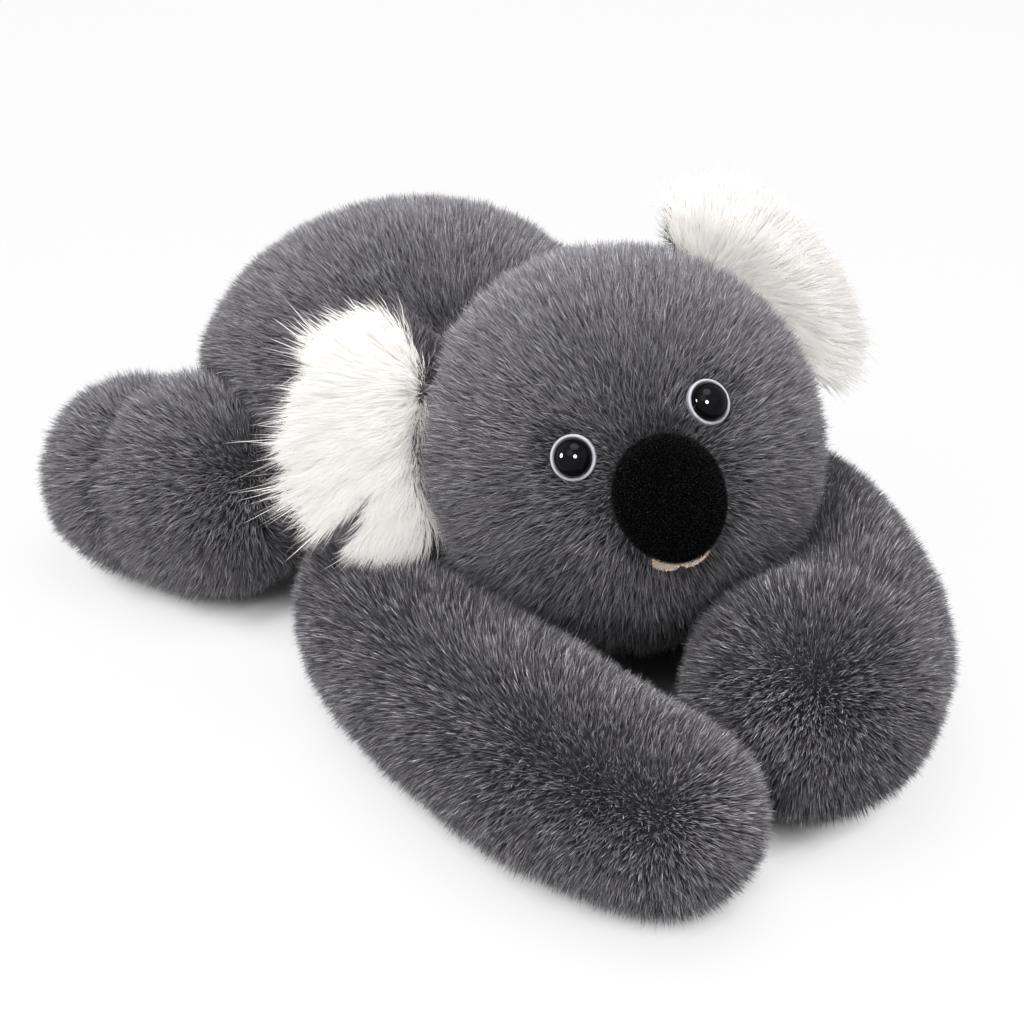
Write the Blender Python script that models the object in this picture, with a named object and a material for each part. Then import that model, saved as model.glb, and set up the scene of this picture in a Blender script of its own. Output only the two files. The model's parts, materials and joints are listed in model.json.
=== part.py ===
"""A plush koala lying on its belly with its head turned and its chin between its arms.

Every limb is a sewn fur skin over a soft filling. The head, arms, legs and ears are sewn to
what carries them, and each of those seams flexes about one line, where an empty stands.
The origin is on the table under the middle of the torso, +Y runs from neck to rump, and +X is
the koala's left. The skins' outer faces lie at the middle of the fur's depth.
"""

import math

import bmesh
import bpy
from mathutils import Matrix, Vector

MM = 0.001

# Fabric and clearances
SKIN_WALL = 5.0 * MM
EAR_WALL = 3.0 * MM
NOSE_WALL = 2.2 * MM
FILLING_GAP = 0.4 * MM
SEAM_GAP = 0.3 * MM
FLOOR_CUT = 0.5 * MM
OVERRUN = 60.0 * MM

# Torso, which lies along Y and is a little narrower towards the neck
TORSO_LENGTH = 200.0 * MM
TORSO_WIDTH = 177.0 * MM
TORSO_HEIGHT = 153.0 * MM
TORSO_SEAM_HEIGHT = 86.0 * MM
TORSO_TAPER_SHARE = 0.12
TORSO_DROOP_SHARE = 0.16
BELLY_FLATNESS_SHARE = 0.86

# Head, a ball sewn to the front of the torso
HEAD_RADIUS = 78.5 * MM
HEAD_HEIGHT = 108.0 * MM
HEAD_REACH = 141.5 * MM
HEAD_TURN = math.radians(-25.5)
HEAD_PITCH = math.radians(-22.0)
HEAD_ROLL = math.radians(-17.6)

# Eyes: a white cup with a shank, a black dome in it and a washer behind the fur
EYE_SPREAD = math.radians(21.6)
EYE_RAISE = math.radians(12.0)
EYE_RING_RADIUS = 9.2 * MM
EYE_RING_THICKNESS = 2.6 * MM
EYE_RING_ROUND = 0.7 * MM
EYE_SINK = 0.4 * MM
EYE_CUP_DEPTH = 1.0 * MM
EYE_DOME_RADIUS = 7.3 * MM
EYE_DOME_HEIGHT = 5.2 * MM
EYE_FIT = 0.3 * MM
SHANK_RADIUS = 2.0 * MM
SHANK_LENGTH = 13.0 * MM
WASHER_RADIUS = 7.5 * MM
WASHER_THICKNESS = 1.5 * MM
WASHER_INSET = 0.9 * MM

# Nose and mouth, sewn on the face
NOSE_DROP = math.radians(8.5)
NOSE_WIDTH = 45.0 * MM
NOSE_HEIGHT = 51.0 * MM
NOSE_DEPTH = 34.0 * MM
NOSE_SINK = 1.0 * MM
NOSE_TAPER_SHARE = 0.10
MOUTH_DROP = math.radians(27.5)
MOUTH_WIDTH = 25.0 * MM
MOUTH_HEIGHT = 11.0 * MM
MOUTH_DEPTH = 13.0 * MM

# Ears: a padded lens, white in front and grey behind, on a hinge line along its root
EAR_RAISE = math.radians(26.0)
EAR_BACK = math.radians(2.0)
EAR_REACH = 76.0 * MM
EAR_HEIGHT = 94.0 * MM
EAR_THICKNESS = 21.0 * MM
EAR_OUTSET = 13.0 * MM
EAR_HINGE_OUTSET = 0.4 * MM
LEFT_EAR_LEAN = math.radians(40.0)
RIGHT_EAR_LEAN = math.radians(15.0)
EAR_FOLD_BACK = math.radians(12.0)
EAR_FOLD_FORWARD = math.radians(22.0)

# Arms: equal steps from the shoulder to the middle of the paw, each with its own heading
SHOULDER_SPREAD = 50.0 * MM
SHOULDER_SETBACK = -56.0 * MM
ARM_LENGTH = 232.0 * MM
ARM_RADIUS = 38.0 * MM
RIGHT_ARM_RADIUS_SHARES = (0.886, 0.92, 0.975, 1.03, 1.05, 0.955)
LEFT_ARM_RADIUS_SHARES = (0.875, 0.958, 1.05, 1.08, 1.1, 1.27)
RIGHT_ARM_HEADINGS = tuple(math.radians(a) for a in (41.6, 15.0, 1.8, -3.4, -18.4))
LEFT_ARM_HEADINGS = tuple(math.radians(a) for a in (20.7, 21.8, -17.0, -28.7, -57.0))
ARM_SWING = math.radians(35.0)

# Legs: a thigh sewn to the flank and a foot sewn to the thigh
HIP_SPREAD = 95.0 * MM
HIP_SETBACK = 21.0 * MM
LEG_SPLAY = math.radians(26.0)
THIGH_RADIUS = 46.5 * MM
THIGH_LENGTH = 8.0 * MM
FOOT_REACH = 37.0 * MM
FOOT_LENGTH = 10.0 * MM
FOOT_RADIUS = 42.5 * MM
LEG_SWING = math.radians(30.0)

ROOT_OPENING_RADIUS = 16.0 * MM

# How finely the forms are faceted
TORSO_SIDES, TORSO_RINGS = 24, 14
HEAD_SIDES, HEAD_RINGS = 28, 14
CORE_SIDES, CORE_RINGS = 16, 8
LIMB_SIDES, CORE_LIMB_SIDES = 16, 8
LIMB_STEPS = 2
CAP_RINGS, CORE_CAP_RINGS = 4, 2
SEAT_SIDES, SEAT_RINGS = 20, 10
FAN_STATIONS = 7
EAR_SIDES, EAR_RINGS = 16, 8
EAR_ROOM_SIDES, EAR_ROOM_RINGS = 48, 24
TURNED_SIDES = 12
DOME_RINGS = 6

HEAD_CENTRE = Vector((0.0, -HEAD_REACH, HEAD_HEIGHT))


def clear_scene():
    for item in list(bpy.data.objects):
        bpy.data.objects.remove(item, do_unlink=True)


def material(name, colour, roughness):
    made = bpy.data.materials.new(name)
    made.use_nodes = True
    made.diffuse_color = (*colour, 1.0)
    shader = made.node_tree.nodes["Principled BSDF"]
    shader.inputs["Base Color"].default_value = (*colour, 1.0)
    shader.inputs["Roughness"].default_value = roughness
    shader.inputs["Metallic"].default_value = 0.0
    return made


def pivot(name, place, parent=None):
    empty = bpy.data.objects.new(name, None)
    empty.empty_display_size = ARM_RADIUS
    bpy.context.collection.objects.link(empty)
    empty.parent = parent
    empty.matrix_world = place
    bpy.context.view_layer.update()
    return empty


def object_from(name, bm, look, parent):
    """An object with this mesh, given in the parent's own axes."""
    bmesh.ops.recalc_face_normals(bm, faces=bm.faces)
    mesh = bpy.data.meshes.new(name)
    bm.to_mesh(mesh)
    bm.free()
    mesh.shade_smooth()
    obj = bpy.data.objects.new(name, mesh)
    bpy.context.collection.objects.link(obj)
    obj.parent = parent
    if look:
        mesh.materials.append(look)
    else:
        obj.hide_render = True
        obj.display_type = "WIRE"
    return obj


def cutter(name, bm, parent=None):
    return object_from(name, bm, None, parent)


def cut(obj, *cutters):
    for other in cutters:
        boolean = obj.modifiers.new(other.name, "BOOLEAN")
        boolean.operation = "DIFFERENCE"
        boolean.solver = "EXACT"
        boolean.object = other


def join_rings(bm, rings):
    """Skins a list of rings. A ring is a list of points, or one point where the form closes."""
    made = [[bm.verts.new(point) for point in ring] for ring in rings]
    for first, second in zip(made, made[1:]):
        for i in range(max(len(first), len(second))):
            corners = [first[i % len(first)], first[(i + 1) % len(first)]]
            corners += [second[(i + 1) % len(second)], second[i % len(second)]]
            bm.faces.new(list(dict.fromkeys(corners)))
    return made


def closed_form(rings):
    bm = bmesh.new()
    join_rings(bm, rings)
    return bm


def bridge(bm, first, second):
    for i in range(len(first)):
        j = (i + 1) % len(first)
        bm.faces.new((first[i], first[j], second[j], second[i]))


def looped_form(rings):
    """A form whose last ring joins its first, such as a washer."""
    bm = bmesh.new()
    made = join_rings(bm, rings)
    bridge(bm, made[-1], made[0])
    return bm


def around(sides):
    """Angles round a ring, with one straight down."""
    return [math.tau * i / sides - math.pi / 2 for i in range(sides)]


def box(low, high):
    bm = bmesh.new()
    bmesh.ops.create_cube(bm, size=1.0)
    for vert in bm.verts:
        for k in range(3):
            vert.co[k] = low[k] if vert.co[k] < 0 else high[k]
    return bm


def ball(radius, sides, rings):
    bm = bmesh.new()
    bmesh.ops.create_uvsphere(bm, u_segments=sides, v_segments=rings, radius=radius)
    return bm


def clear_ball(radius, sides, rings):
    """A ball whose flat facets all lie outside this radius, for a seat that a ball turns in."""
    return ball(radius / math.cos(math.pi / sides) / math.cos(math.pi / rings / 2), sides, rings)


def lens(width, depth, height, taper_share, sides, rings):
    """An egg with these full sizes along X, Y and Z, narrower below by its taper."""
    bm = ball(1.0, sides, rings)
    for vert in bm.verts:
        narrowing = 1.0 - taper_share * (1.0 - vert.co.z) / 2
        vert.co.x *= narrowing * width / 2
        vert.co.y *= depth / 2
        vert.co.z *= height / 2
    return bm


def turned_rings(profile, sides):
    """Rings round Z from (radius, height) points. A point with no radius closes the form."""
    rings = []
    for radius, height in profile:
        if radius:
            ring = [(radius * math.cos(a), radius * math.sin(a), height) for a in around(sides)]
            rings.append(ring)
        else:
            rings.append([(0.0, 0.0, height)])
    return rings


def head_direction(sideways, upwards, place=Vector((0.0, 0.0, 0.0))):
    """Head axes to a frame with +Z out of the face at these angles and +X to the koala's left."""
    turned = Matrix.Rotation(sideways, 4, "Z") @ Matrix.Rotation(-upwards, 4, "X")
    outwards = Matrix(((1, 0, 0, 0), (0, 0, -1, 0), (0, 1, 0, 0), (0, 0, 0, 1)))
    return turned @ outwards @ Matrix.Translation(place)


def torso_form(inset, sides, rings):
    """The torso's belly-flattened egg, smaller all round by inset and with the same middle."""
    half_length = TORSO_LENGTH / 2 - inset
    half_width = TORSO_WIDTH / 2 - inset
    half_height = TORSO_HEIGHT / 2 - inset
    middle = TORSO_HEIGHT / 2 - FLOOR_CUT
    made = [[(0.0, -half_length, middle * (1 - TORSO_DROOP_SHARE))]]
    for step in range(1, rings):
        along = math.pi * step / rings
        swell = math.sin(along) * (1 - TORSO_TAPER_SHARE * math.cos(along))
        centre = middle * (1 - TORSO_DROOP_SHARE * (1 - math.sin(along)))
        ring = []
        for angle in around(sides):
            rise = math.sin(angle)
            if rise < 0:
                rise = -abs(rise) ** BELLY_FLATNESS_SHARE
            x = half_width * swell * math.cos(angle)
            z = centre + half_height * min(swell, math.sin(along)) * rise
            ring.append((x, -half_length * math.cos(along), z))
        made.append(ring)
    made.append([(0.0, half_length, middle * (1 - TORSO_DROOP_SHARE))])
    return made


def between(before, start, end, after, share):
    """A smooth curve's point between start and end, with its neighbours before and after."""
    a = 2 * start
    b = (end - before) * share
    c = (2 * before - 5 * start + 4 * end - after) * share**2
    d = (3 * start - before - 3 * end + after) * share**3
    return (a + b + c + d) / 2


def smoothed(values, steps):
    padded = [2 * values[0] - values[1], *values, 2 * values[-1] - values[-2]]
    made = []
    for i in range(len(values) - 1):
        made += [between(*padded[i : i + 4], step / steps) for step in range(steps)]
    return [*made, values[-1]]


def limb_path(side, headings, length, forward):
    """Points from a limb's root, as offsets from it. Side is 1 on the koala's left."""
    points = [Vector((0.0, 0.0))]
    for heading in headings:
        step = Vector((side * math.sin(heading), forward * math.cos(heading)))
        points.append(points[-1] + step * length / len(headings))
    return points


class Limb:
    """A limb's path, thickness and place, from which its skin, filling and seats are made.

    Its points are offsets from the middle of its root, where it swings about the vertical.
    """

    def __init__(self, root, side, headings, length, forward, radii):
        self.side = side
        self.forward = forward
        self.centres = smoothed(limb_path(side, headings, length, forward), LIMB_STEPS)
        self.sizes = smoothed(list(radii), LIMB_STEPS)
        self.root = Vector((root.x, root.y, self.sizes[0] - FLOOR_CUT))

    def place(self):
        return Matrix.Translation(self.root)

    def ring(self, index, angles, radius, ahead=0.0):
        """A ring square to the path, moved ahead along it."""
        first, last = max(index - 1, 0), min(index + 1, len(self.centres) - 1)
        along = (self.centres[last] - self.centres[first]).normalized()
        centre = self.centres[index] + along * ahead
        rise = self.sizes[index] - self.sizes[0]
        made = []
        for angle in angles:
            across = radius * math.cos(angle)
            x = centre.x + along.y * across
            y = centre.y - along.x * across
            made.append(Vector((x, y, rise + radius * math.sin(angle))))
        return made

    def rings(self, grow, sides, cap_rings):
        """Rings from the root to the tip, with ball ends."""
        made = []
        turns = [math.pi / 2 * step / cap_rings for step in range(cap_rings)]
        for turn in turns:
            size = self.sizes[0] + grow
            angles = around(sides) if turn else (0.0,)
            made.append(self.ring(0, angles, size * math.sin(turn), -size * math.cos(turn)))
        for index, size in enumerate(self.sizes):
            made.append(self.ring(index, around(sides), size + grow))
        for turn in reversed(turns):
            size = self.sizes[-1] + grow
            angles = around(sides) if turn else (0.0,)
            last = len(self.sizes) - 1
            made.append(self.ring(last, angles, size * math.sin(turn), size * math.cos(turn)))
        return made

    def outer(self, grow=0.0):
        return self.rings(grow, LIMB_SIDES, CAP_RINGS)

    def socket(self, name, grow):
        made = cutter(name, closed_form(self.outer(grow)))
        made.matrix_world = self.place()
        return made

    def seats(self, name, grow, swing, sides):
        """Cutters for a ball seat at the root and for the fan that the limb sweeps outwards."""
        seat = cutter(name + "_ball", clear_ball(self.sizes[0] + grow, SEAT_SIDES, SEAT_RINGS))
        outwards = swing * self.side * -self.forward
        halves = (
            (around(sides)[: sides // 2 + 1], min(outwards, 0.0)),
            ([a + math.pi for a in around(sides)[: sides // 2 + 1]], max(outwards, 0.0)),
        )
        rings = [[Vector()]]
        for index, size in enumerate(self.sizes[:FAN_STATIONS]):
            clear = (size + grow) / math.cos(math.pi / sides)
            fan = []
            for angles, swung in halves:
                turned = Matrix.Rotation(swung, 3, "Z")
                fan += [turned @ point for point in self.ring(index, angles, clear)]
            rings.append(fan)
        rings.append([sum(rings[-1], Vector()) / len(rings[-1])])
        bm = closed_form(rings)
        bmesh.ops.remove_doubles(bm, verts=bm.verts, dist=SEAM_GAP / 10)
        fan = cutter(name + "_fan", bm)
        for made in (seat, fan):
            made.matrix_world = self.place()
        return [seat, fan]


SHOULDER = Vector((SHOULDER_SPREAD, SHOULDER_SETBACK))
HIP = Vector((HIP_SPREAD, HIP_SETBACK))


def mirrored(point, side):
    return Vector((side * point.x, point.y))


def arm(side):
    headings = LEFT_ARM_HEADINGS if side > 0 else RIGHT_ARM_HEADINGS
    shares = LEFT_ARM_RADIUS_SHARES if side > 0 else RIGHT_ARM_RADIUS_SHARES
    radii = [ARM_RADIUS * share for share in shares]
    return Limb(mirrored(SHOULDER, side), side, headings, ARM_LENGTH, -1, radii)


def leg_reach(side):
    """The thigh and foot as one form, for the room that they need beside the torso."""
    radii = (THIGH_RADIUS, THIGH_RADIUS, THIGH_RADIUS, FOOT_RADIUS)
    return Limb(mirrored(HIP, side), side, (LEG_SPLAY,) * 3, FOOT_REACH, 1, radii)


def thigh(side):
    return Limb(mirrored(HIP, side), side, (LEG_SPLAY,), THIGH_LENGTH, 1, [THIGH_RADIUS] * 2)


def foot(side):
    out = Vector((side * math.sin(LEG_SPLAY), math.cos(LEG_SPLAY)))
    root = mirrored(HIP, side) + out * (FOOT_REACH - FOOT_LENGTH)
    return Limb(root, side, (LEG_SPLAY,), FOOT_LENGTH, 1, [FOOT_RADIUS] * 2)


def floor_box():
    reach = TORSO_LENGTH + ARM_LENGTH
    return cutter("table_cutter", box((-reach, -reach, -OVERRUN), (reach, reach, 0.0)))


def head_ball(name, grow, sides, rings):
    made = cutter(name, clear_ball(HEAD_RADIUS + grow, sides, rings))
    made.matrix_world = Matrix.Translation(HEAD_CENTRE)
    return made


def make_torso(looks, root, swingers, table):
    """Back and belly panels over one filling, with a seat for the head and each limb."""
    filling_inset = SKIN_WALL + FILLING_GAP
    cavity = cutter("torso_cavity", closed_form(torso_form(SKIN_WALL, CORE_SIDES, CORE_RINGS)))
    filling_form = closed_form(torso_form(filling_inset, CORE_SIDES, CORE_RINGS))
    filling = object_from("torso_filling", filling_form, looks["filling"], root)

    def seats(label, depth, limb_sides, head_sides):
        made = [head_ball("head_seat" + label, SEAM_GAP + depth, head_sides, head_sides // 2)]
        for name, (limb, swing) in swingers.items():
            made += limb.seats(name + "_seat" + label, SEAM_GAP + depth, swing, limb_sides)
        return made

    cut(cavity, *seats("_wall", SKIN_WALL, CORE_LIMB_SIDES, CORE_SIDES))
    cut(filling, *seats("_filling", filling_inset, CORE_LIMB_SIDES, CORE_SIDES))
    skin_seats = seats("", 0.0, LIMB_SIDES, HEAD_SIDES)
    reach = TORSO_LENGTH
    seam = TORSO_SEAM_HEIGHT
    below = box((-reach, -reach, -OVERRUN), (reach, reach, seam + SEAM_GAP / 2))
    above = box((-reach, -reach, seam - SEAM_GAP / 2), (reach, reach, TORSO_HEIGHT + OVERRUN))
    for name, half in (("back_panel", below), ("belly_panel", above)):
        form = closed_form(torso_form(0.0, TORSO_SIDES, TORSO_RINGS))
        panel = object_from(name, form, looks["grey_fur"], root)
        cut(panel, cavity, *skin_seats, cutter(name + "_half", half))
        if name == "belly_panel":
            cut(panel, table)


def make_head(looks, neck):
    """Face and back panels sewn over the crown and round the ears, over one filling."""
    reach = HEAD_RADIUS + OVERRUN
    behind = box((-reach, -SEAM_GAP / 2, -reach), (reach, reach, reach))
    ahead = box((-reach, -reach, -reach), (reach, SEAM_GAP / 2, reach))
    cavity_ball = ball(HEAD_RADIUS - SKIN_WALL, CORE_SIDES, CORE_RINGS)
    cavity = cutter("head_cavity", cavity_ball, neck)
    panels = {}
    for name, half in (("face_panel", behind), ("head_back_panel", ahead)):
        form = ball(HEAD_RADIUS, HEAD_SIDES, HEAD_RINGS)
        panels[name] = object_from(name, form, looks["grey_fur"], neck)
        cut(panels[name], cavity, cutter(name + "_half", half, neck))
    filling_ball = ball(HEAD_RADIUS - SKIN_WALL - FILLING_GAP, CORE_SIDES, CORE_RINGS)
    filling = object_from("head_filling", filling_ball, looks["filling"], neck)
    return panels["face_panel"], filling


def ring_profile():
    """From the shank's end to the cup's floor."""
    back = -EYE_RING_THICKNESS
    edge = EYE_RING_RADIUS
    cup = EYE_DOME_RADIUS + EYE_FIT
    return (
        (0.0, back - SHANK_LENGTH),
        (SHANK_RADIUS, back - SHANK_LENGTH),
        (SHANK_RADIUS, back),
        (edge, back),
        (edge, -EYE_RING_ROUND),
        (edge - EYE_RING_ROUND, 0.0),
        (cup, 0.0),
        (cup, -EYE_CUP_DEPTH),
        (0.0, -EYE_CUP_DEPTH),
    )


def dome_profile():
    base = -EYE_CUP_DEPTH + EYE_FIT
    rise = EYE_DOME_HEIGHT - base
    profile = [(0.0, base)]
    for step in range(DOME_RINGS):
        turn = math.pi / 2 * step / DOME_RINGS
        profile.append((EYE_DOME_RADIUS * math.cos(turn), base + rise * math.sin(turn)))
    return (*profile, (0.0, EYE_DOME_HEIGHT))


def make_eye(looks, neck, side, face, filling):
    name = "left" if side > 0 else "right"
    stand = Vector((0.0, 0.0, HEAD_RADIUS - EYE_SINK))
    place = head_direction(side * EYE_SPREAD, EYE_RAISE, stand)

    def turned(label, profile, look, looped=False):
        rings = turned_rings(profile, TURNED_SIDES)
        bm = looped_form(rings) if looped else closed_form(rings)
        bmesh.ops.transform(bm, matrix=place, verts=bm.verts)
        return object_from(label, bm, look, neck)

    turned("eye_ring_" + name, ring_profile(), looks["eye_white"])
    turned("eye_dome_" + name, dome_profile(), looks["eye_black"])
    washer_top = EYE_SINK - SKIN_WALL - WASHER_INSET
    washer_end = washer_top - WASHER_THICKNESS
    hole = SHANK_RADIUS + EYE_FIT
    washer = (
        (hole, washer_top),
        (WASHER_RADIUS, washer_top),
        (WASHER_RADIUS, washer_end),
        (hole, washer_end),
    )
    turned("eye_washer_" + name, washer, looks["eye_washer"], looped=True)
    seat = EYE_RING_RADIUS + EYE_FIT
    seat_floor = -EYE_RING_THICKNESS - EYE_FIT
    shank_end = -EYE_RING_THICKNESS - SHANK_LENGTH
    washer_seat = washer_top + EYE_FIT
    washer_room = WASHER_RADIUS + EYE_FIT
    pocket = (
        (0.0, washer_end - EYE_FIT),
        (washer_room, washer_end - EYE_FIT),
        (washer_room, washer_seat),
        (hole, washer_seat),
        (hole, seat_floor),
        (seat, seat_floor),
        (seat, OVERRUN),
        (0.0, OVERRUN),
    )
    cut(face, turned("eye_pocket_" + name, pocket, None))
    hollow = (
        (0.0, shank_end - EYE_FIT),
        (hole, shank_end - EYE_FIT),
        (hole, washer_end - EYE_FIT),
        (washer_room, washer_end - EYE_FIT),
        (washer_room, OVERRUN),
        (0.0, OVERRUN),
    )
    cut(filling, turned("washer_pocket_" + name, hollow, None))


def make_nose(looks, neck, face_ball):
    """A padded velvet nose over the lip, both sewn flat on the face."""
    place = head_direction(0.0, -NOSE_DROP, Vector((0.0, 0.0, HEAD_RADIUS - NOSE_SINK)))

    def nose_form(inset):
        sizes = (NOSE_WIDTH - 2 * inset, NOSE_HEIGHT - 2 * inset, NOSE_DEPTH - 2 * inset)
        bm = lens(sizes[0], sizes[2], sizes[1], NOSE_TAPER_SHARE, EAR_SIDES, EAR_RINGS)
        upright = Matrix.Rotation(math.pi / 2, 4, "X")
        bmesh.ops.transform(bm, matrix=place @ upright.inverted(), verts=bm.verts)
        return bm

    cover = object_from("nose_cover", nose_form(0.0), looks["nose_velvet"], neck)
    cut(cover, cutter("nose_cavity", nose_form(NOSE_WALL), neck), face_ball)
    filling = object_from("nose_filling", nose_form(NOSE_WALL + FILLING_GAP), looks["filling"], neck)
    cut(filling, face_ball)
    lip_place = head_direction(0.0, -MOUTH_DROP, Vector((0.0, 0.0, HEAD_RADIUS)))
    bm = lens(MOUTH_WIDTH, MOUTH_DEPTH, MOUTH_HEIGHT, 0.0, TURNED_SIDES, EAR_RINGS)
    bmesh.ops.transform(bm, matrix=lip_place @ Matrix.Rotation(-math.pi / 2, 4, "X"), verts=bm.verts)
    lip = object_from("mouth_patch", bm, looks["lip_felt"], neck)
    cut(lip, face_ball, cutter("lip_nose_room", nose_form(-SEAM_GAP), neck))


def make_ear(looks, neck, side):
    """Two lens halves over padding, rooted along a hinge line and clear of the head."""
    name = "left" if side > 0 else "right"
    lean = LEFT_EAR_LEAN if side > 0 else RIGHT_EAR_LEAN
    raised = Matrix.Rotation(-side * EAR_RAISE, 4, "Y") @ Matrix.Rotation(side * EAR_BACK, 4, "Z")
    hinge_reach = HEAD_RADIUS + EAR_HINGE_OUTSET
    root = neck.matrix_world @ raised @ Matrix.Translation((side * hinge_reach, 0.0, 0.0))
    fold = pivot("ear_fold_" + name, root @ Matrix.Rotation(side * lean, 4, "Z"), neck)
    middle = Matrix.Translation((side * (EAR_OUTSET - EAR_HINGE_OUTSET), 0.0, 0.0))

    def ear_form(inset):
        sizes = (EAR_REACH - 2 * inset, EAR_THICKNESS - 2 * inset, EAR_HEIGHT - 2 * inset)
        bm = lens(*sizes, 0.0, EAR_SIDES, EAR_RINGS)
        bmesh.ops.transform(bm, matrix=middle, verts=bm.verts)
        return bm

    room = []
    folds = (("rest", 0.0), ("back", EAR_FOLD_BACK), ("forward", -EAR_FOLD_FORWARD))
    for label, folded in folds:
        bm = clear_ball(HEAD_RADIUS + SEAM_GAP, EAR_ROOM_SIDES, EAR_ROOM_RINGS)
        swing = Matrix.Rotation(-side * (lean + folded), 4, "Z")
        swung = swing @ Matrix.Translation((-side * hinge_reach, 0.0, 0.0))
        bmesh.ops.transform(bm, matrix=swung, verts=bm.verts)
        room.append(cutter(f"ear_{name}_room_{label}", bm, fold))
    cavity = cutter("ear_cavity_" + name, ear_form(EAR_WALL), fold)
    reach = EAR_REACH + OVERRUN
    behind = box((-reach, -SEAM_GAP / 2, -reach), (reach, reach, reach))
    ahead = box((-reach, -reach, -reach), (reach, SEAM_GAP / 2, reach))
    halves = (("ear_front_", behind, "white_fur"), ("ear_back_", ahead, "grey_fur"))
    for label, half, look in halves:
        panel = object_from(label + name, ear_form(0.0), looks[look], fold)
        cut(panel, cavity, cutter(label + name + "_half", half, fold), *room)
    padding_form = ear_form(EAR_WALL + FILLING_GAP)
    padding = object_from("ear_padding_" + name, padding_form, looks["filling"], fold)
    cut(padding, *room)


def open_skin(limb):
    """A limb's skin and its lining, joined round the opening that the root is sewn through."""
    outer = limb.outer()
    first = min(i for i, ring in enumerate(outer) if ring_width(ring) > ROOT_OPENING_RADIUS)
    bm = bmesh.new()
    fur = join_rings(bm, outer[first:])
    lining = join_rings(bm, limb.outer(-SKIN_WALL)[first:])
    bridge(bm, fur[0], lining[0])
    return bm


def ring_width(ring):
    return (Vector(ring[0]) - Vector(ring[len(ring) // 2])).length / 2


def make_limb(name, limb, looks, parent, cutters, filling_cutters):
    place = parent.matrix_world.inverted() @ limb.place()
    skin_form = open_skin(limb)
    core_rings = limb.rings(-SKIN_WALL - FILLING_GAP, CORE_LIMB_SIDES, CORE_CAP_RINGS)
    core_form = closed_form(core_rings)
    for bm in (skin_form, core_form):
        bmesh.ops.transform(bm, matrix=place, verts=bm.verts)
    skin = object_from(name + "_skin", skin_form, looks["grey_fur"], parent)
    cut(skin, *cutters)
    filling = object_from(name + "_filling", core_form, looks["filling"], parent)
    cut(filling, *filling_cutters)
    return skin, filling


def main():
    clear_scene()
    looks = {
        "grey_fur": material("grey_fur", (0.105, 0.102, 0.110), 0.9),
        "white_fur": material("white_fur", (0.86, 0.85, 0.83), 0.9),
        "nose_velvet": material("nose_velvet", (0.008, 0.008, 0.009), 0.85),
        "lip_felt": material("lip_felt", (0.72, 0.52, 0.42), 0.85),
        "eye_white": material("eye_white", (0.75, 0.75, 0.78), 0.25),
        "eye_black": material("eye_black", (0.004, 0.004, 0.004), 0.05),
        "eye_washer": material("eye_washer", (0.6, 0.6, 0.58), 0.5),
        "filling": material("filling", (0.9, 0.9, 0.88), 1.0),
    }
    torso = pivot("torso_middle", Matrix.Identity(4))
    table = floor_box()
    swingers = {}
    for label, side in (("left", 1), ("right", -1)):
        swingers["arm_" + label] = (arm(side), ARM_SWING)
        swingers["leg_" + label] = (leg_reach(side), LEG_SWING)
    make_torso(looks, torso, swingers, table)

    turn = Matrix.Rotation(HEAD_TURN, 4, "Z") @ Matrix.Rotation(HEAD_PITCH, 4, "X")
    turn = turn @ Matrix.Rotation(HEAD_ROLL, 4, "Y")
    neck = pivot("neck_turn", Matrix.Translation(HEAD_CENTRE) @ turn, torso)
    face, head_filling = make_head(looks, neck)
    face_form = ball(HEAD_RADIUS + SEAM_GAP, HEAD_SIDES, HEAD_RINGS)
    face_ball = cutter("face_surface", face_form, neck)
    make_nose(looks, neck, face_ball)
    head_room = head_ball("arm_head_room", SEAM_GAP, HEAD_SIDES, HEAD_RINGS)
    filling_clearance = SEAM_GAP + SKIN_WALL + FILLING_GAP
    filling_room = head_ball("filling_head_room", filling_clearance, CORE_SIDES, CORE_RINGS)
    for label, side in (("left", 1), ("right", -1)):
        make_eye(looks, neck, side, face, head_filling)
        make_ear(looks, neck, side)
        upper = arm(side)
        shoulder = pivot("shoulder_" + label, upper.place(), torso)
        make_limb("arm_" + label, upper, looks, shoulder, (head_room, table), (filling_room,))
        leg = thigh(side)
        hip = pivot("hip_" + label, leg.place(), torso)
        make_limb("leg_" + label, leg, looks, hip, (table,), ())
        thigh_room = leg.socket("thigh_room_" + label, SEAM_GAP)
        make_limb("foot_" + label, foot(side), looks, hip, (thigh_room, table), (thigh_room,))


main()
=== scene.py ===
"""The looks of a plush koala: skins, fur, ears, face and a plain studio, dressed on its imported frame."""

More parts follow.
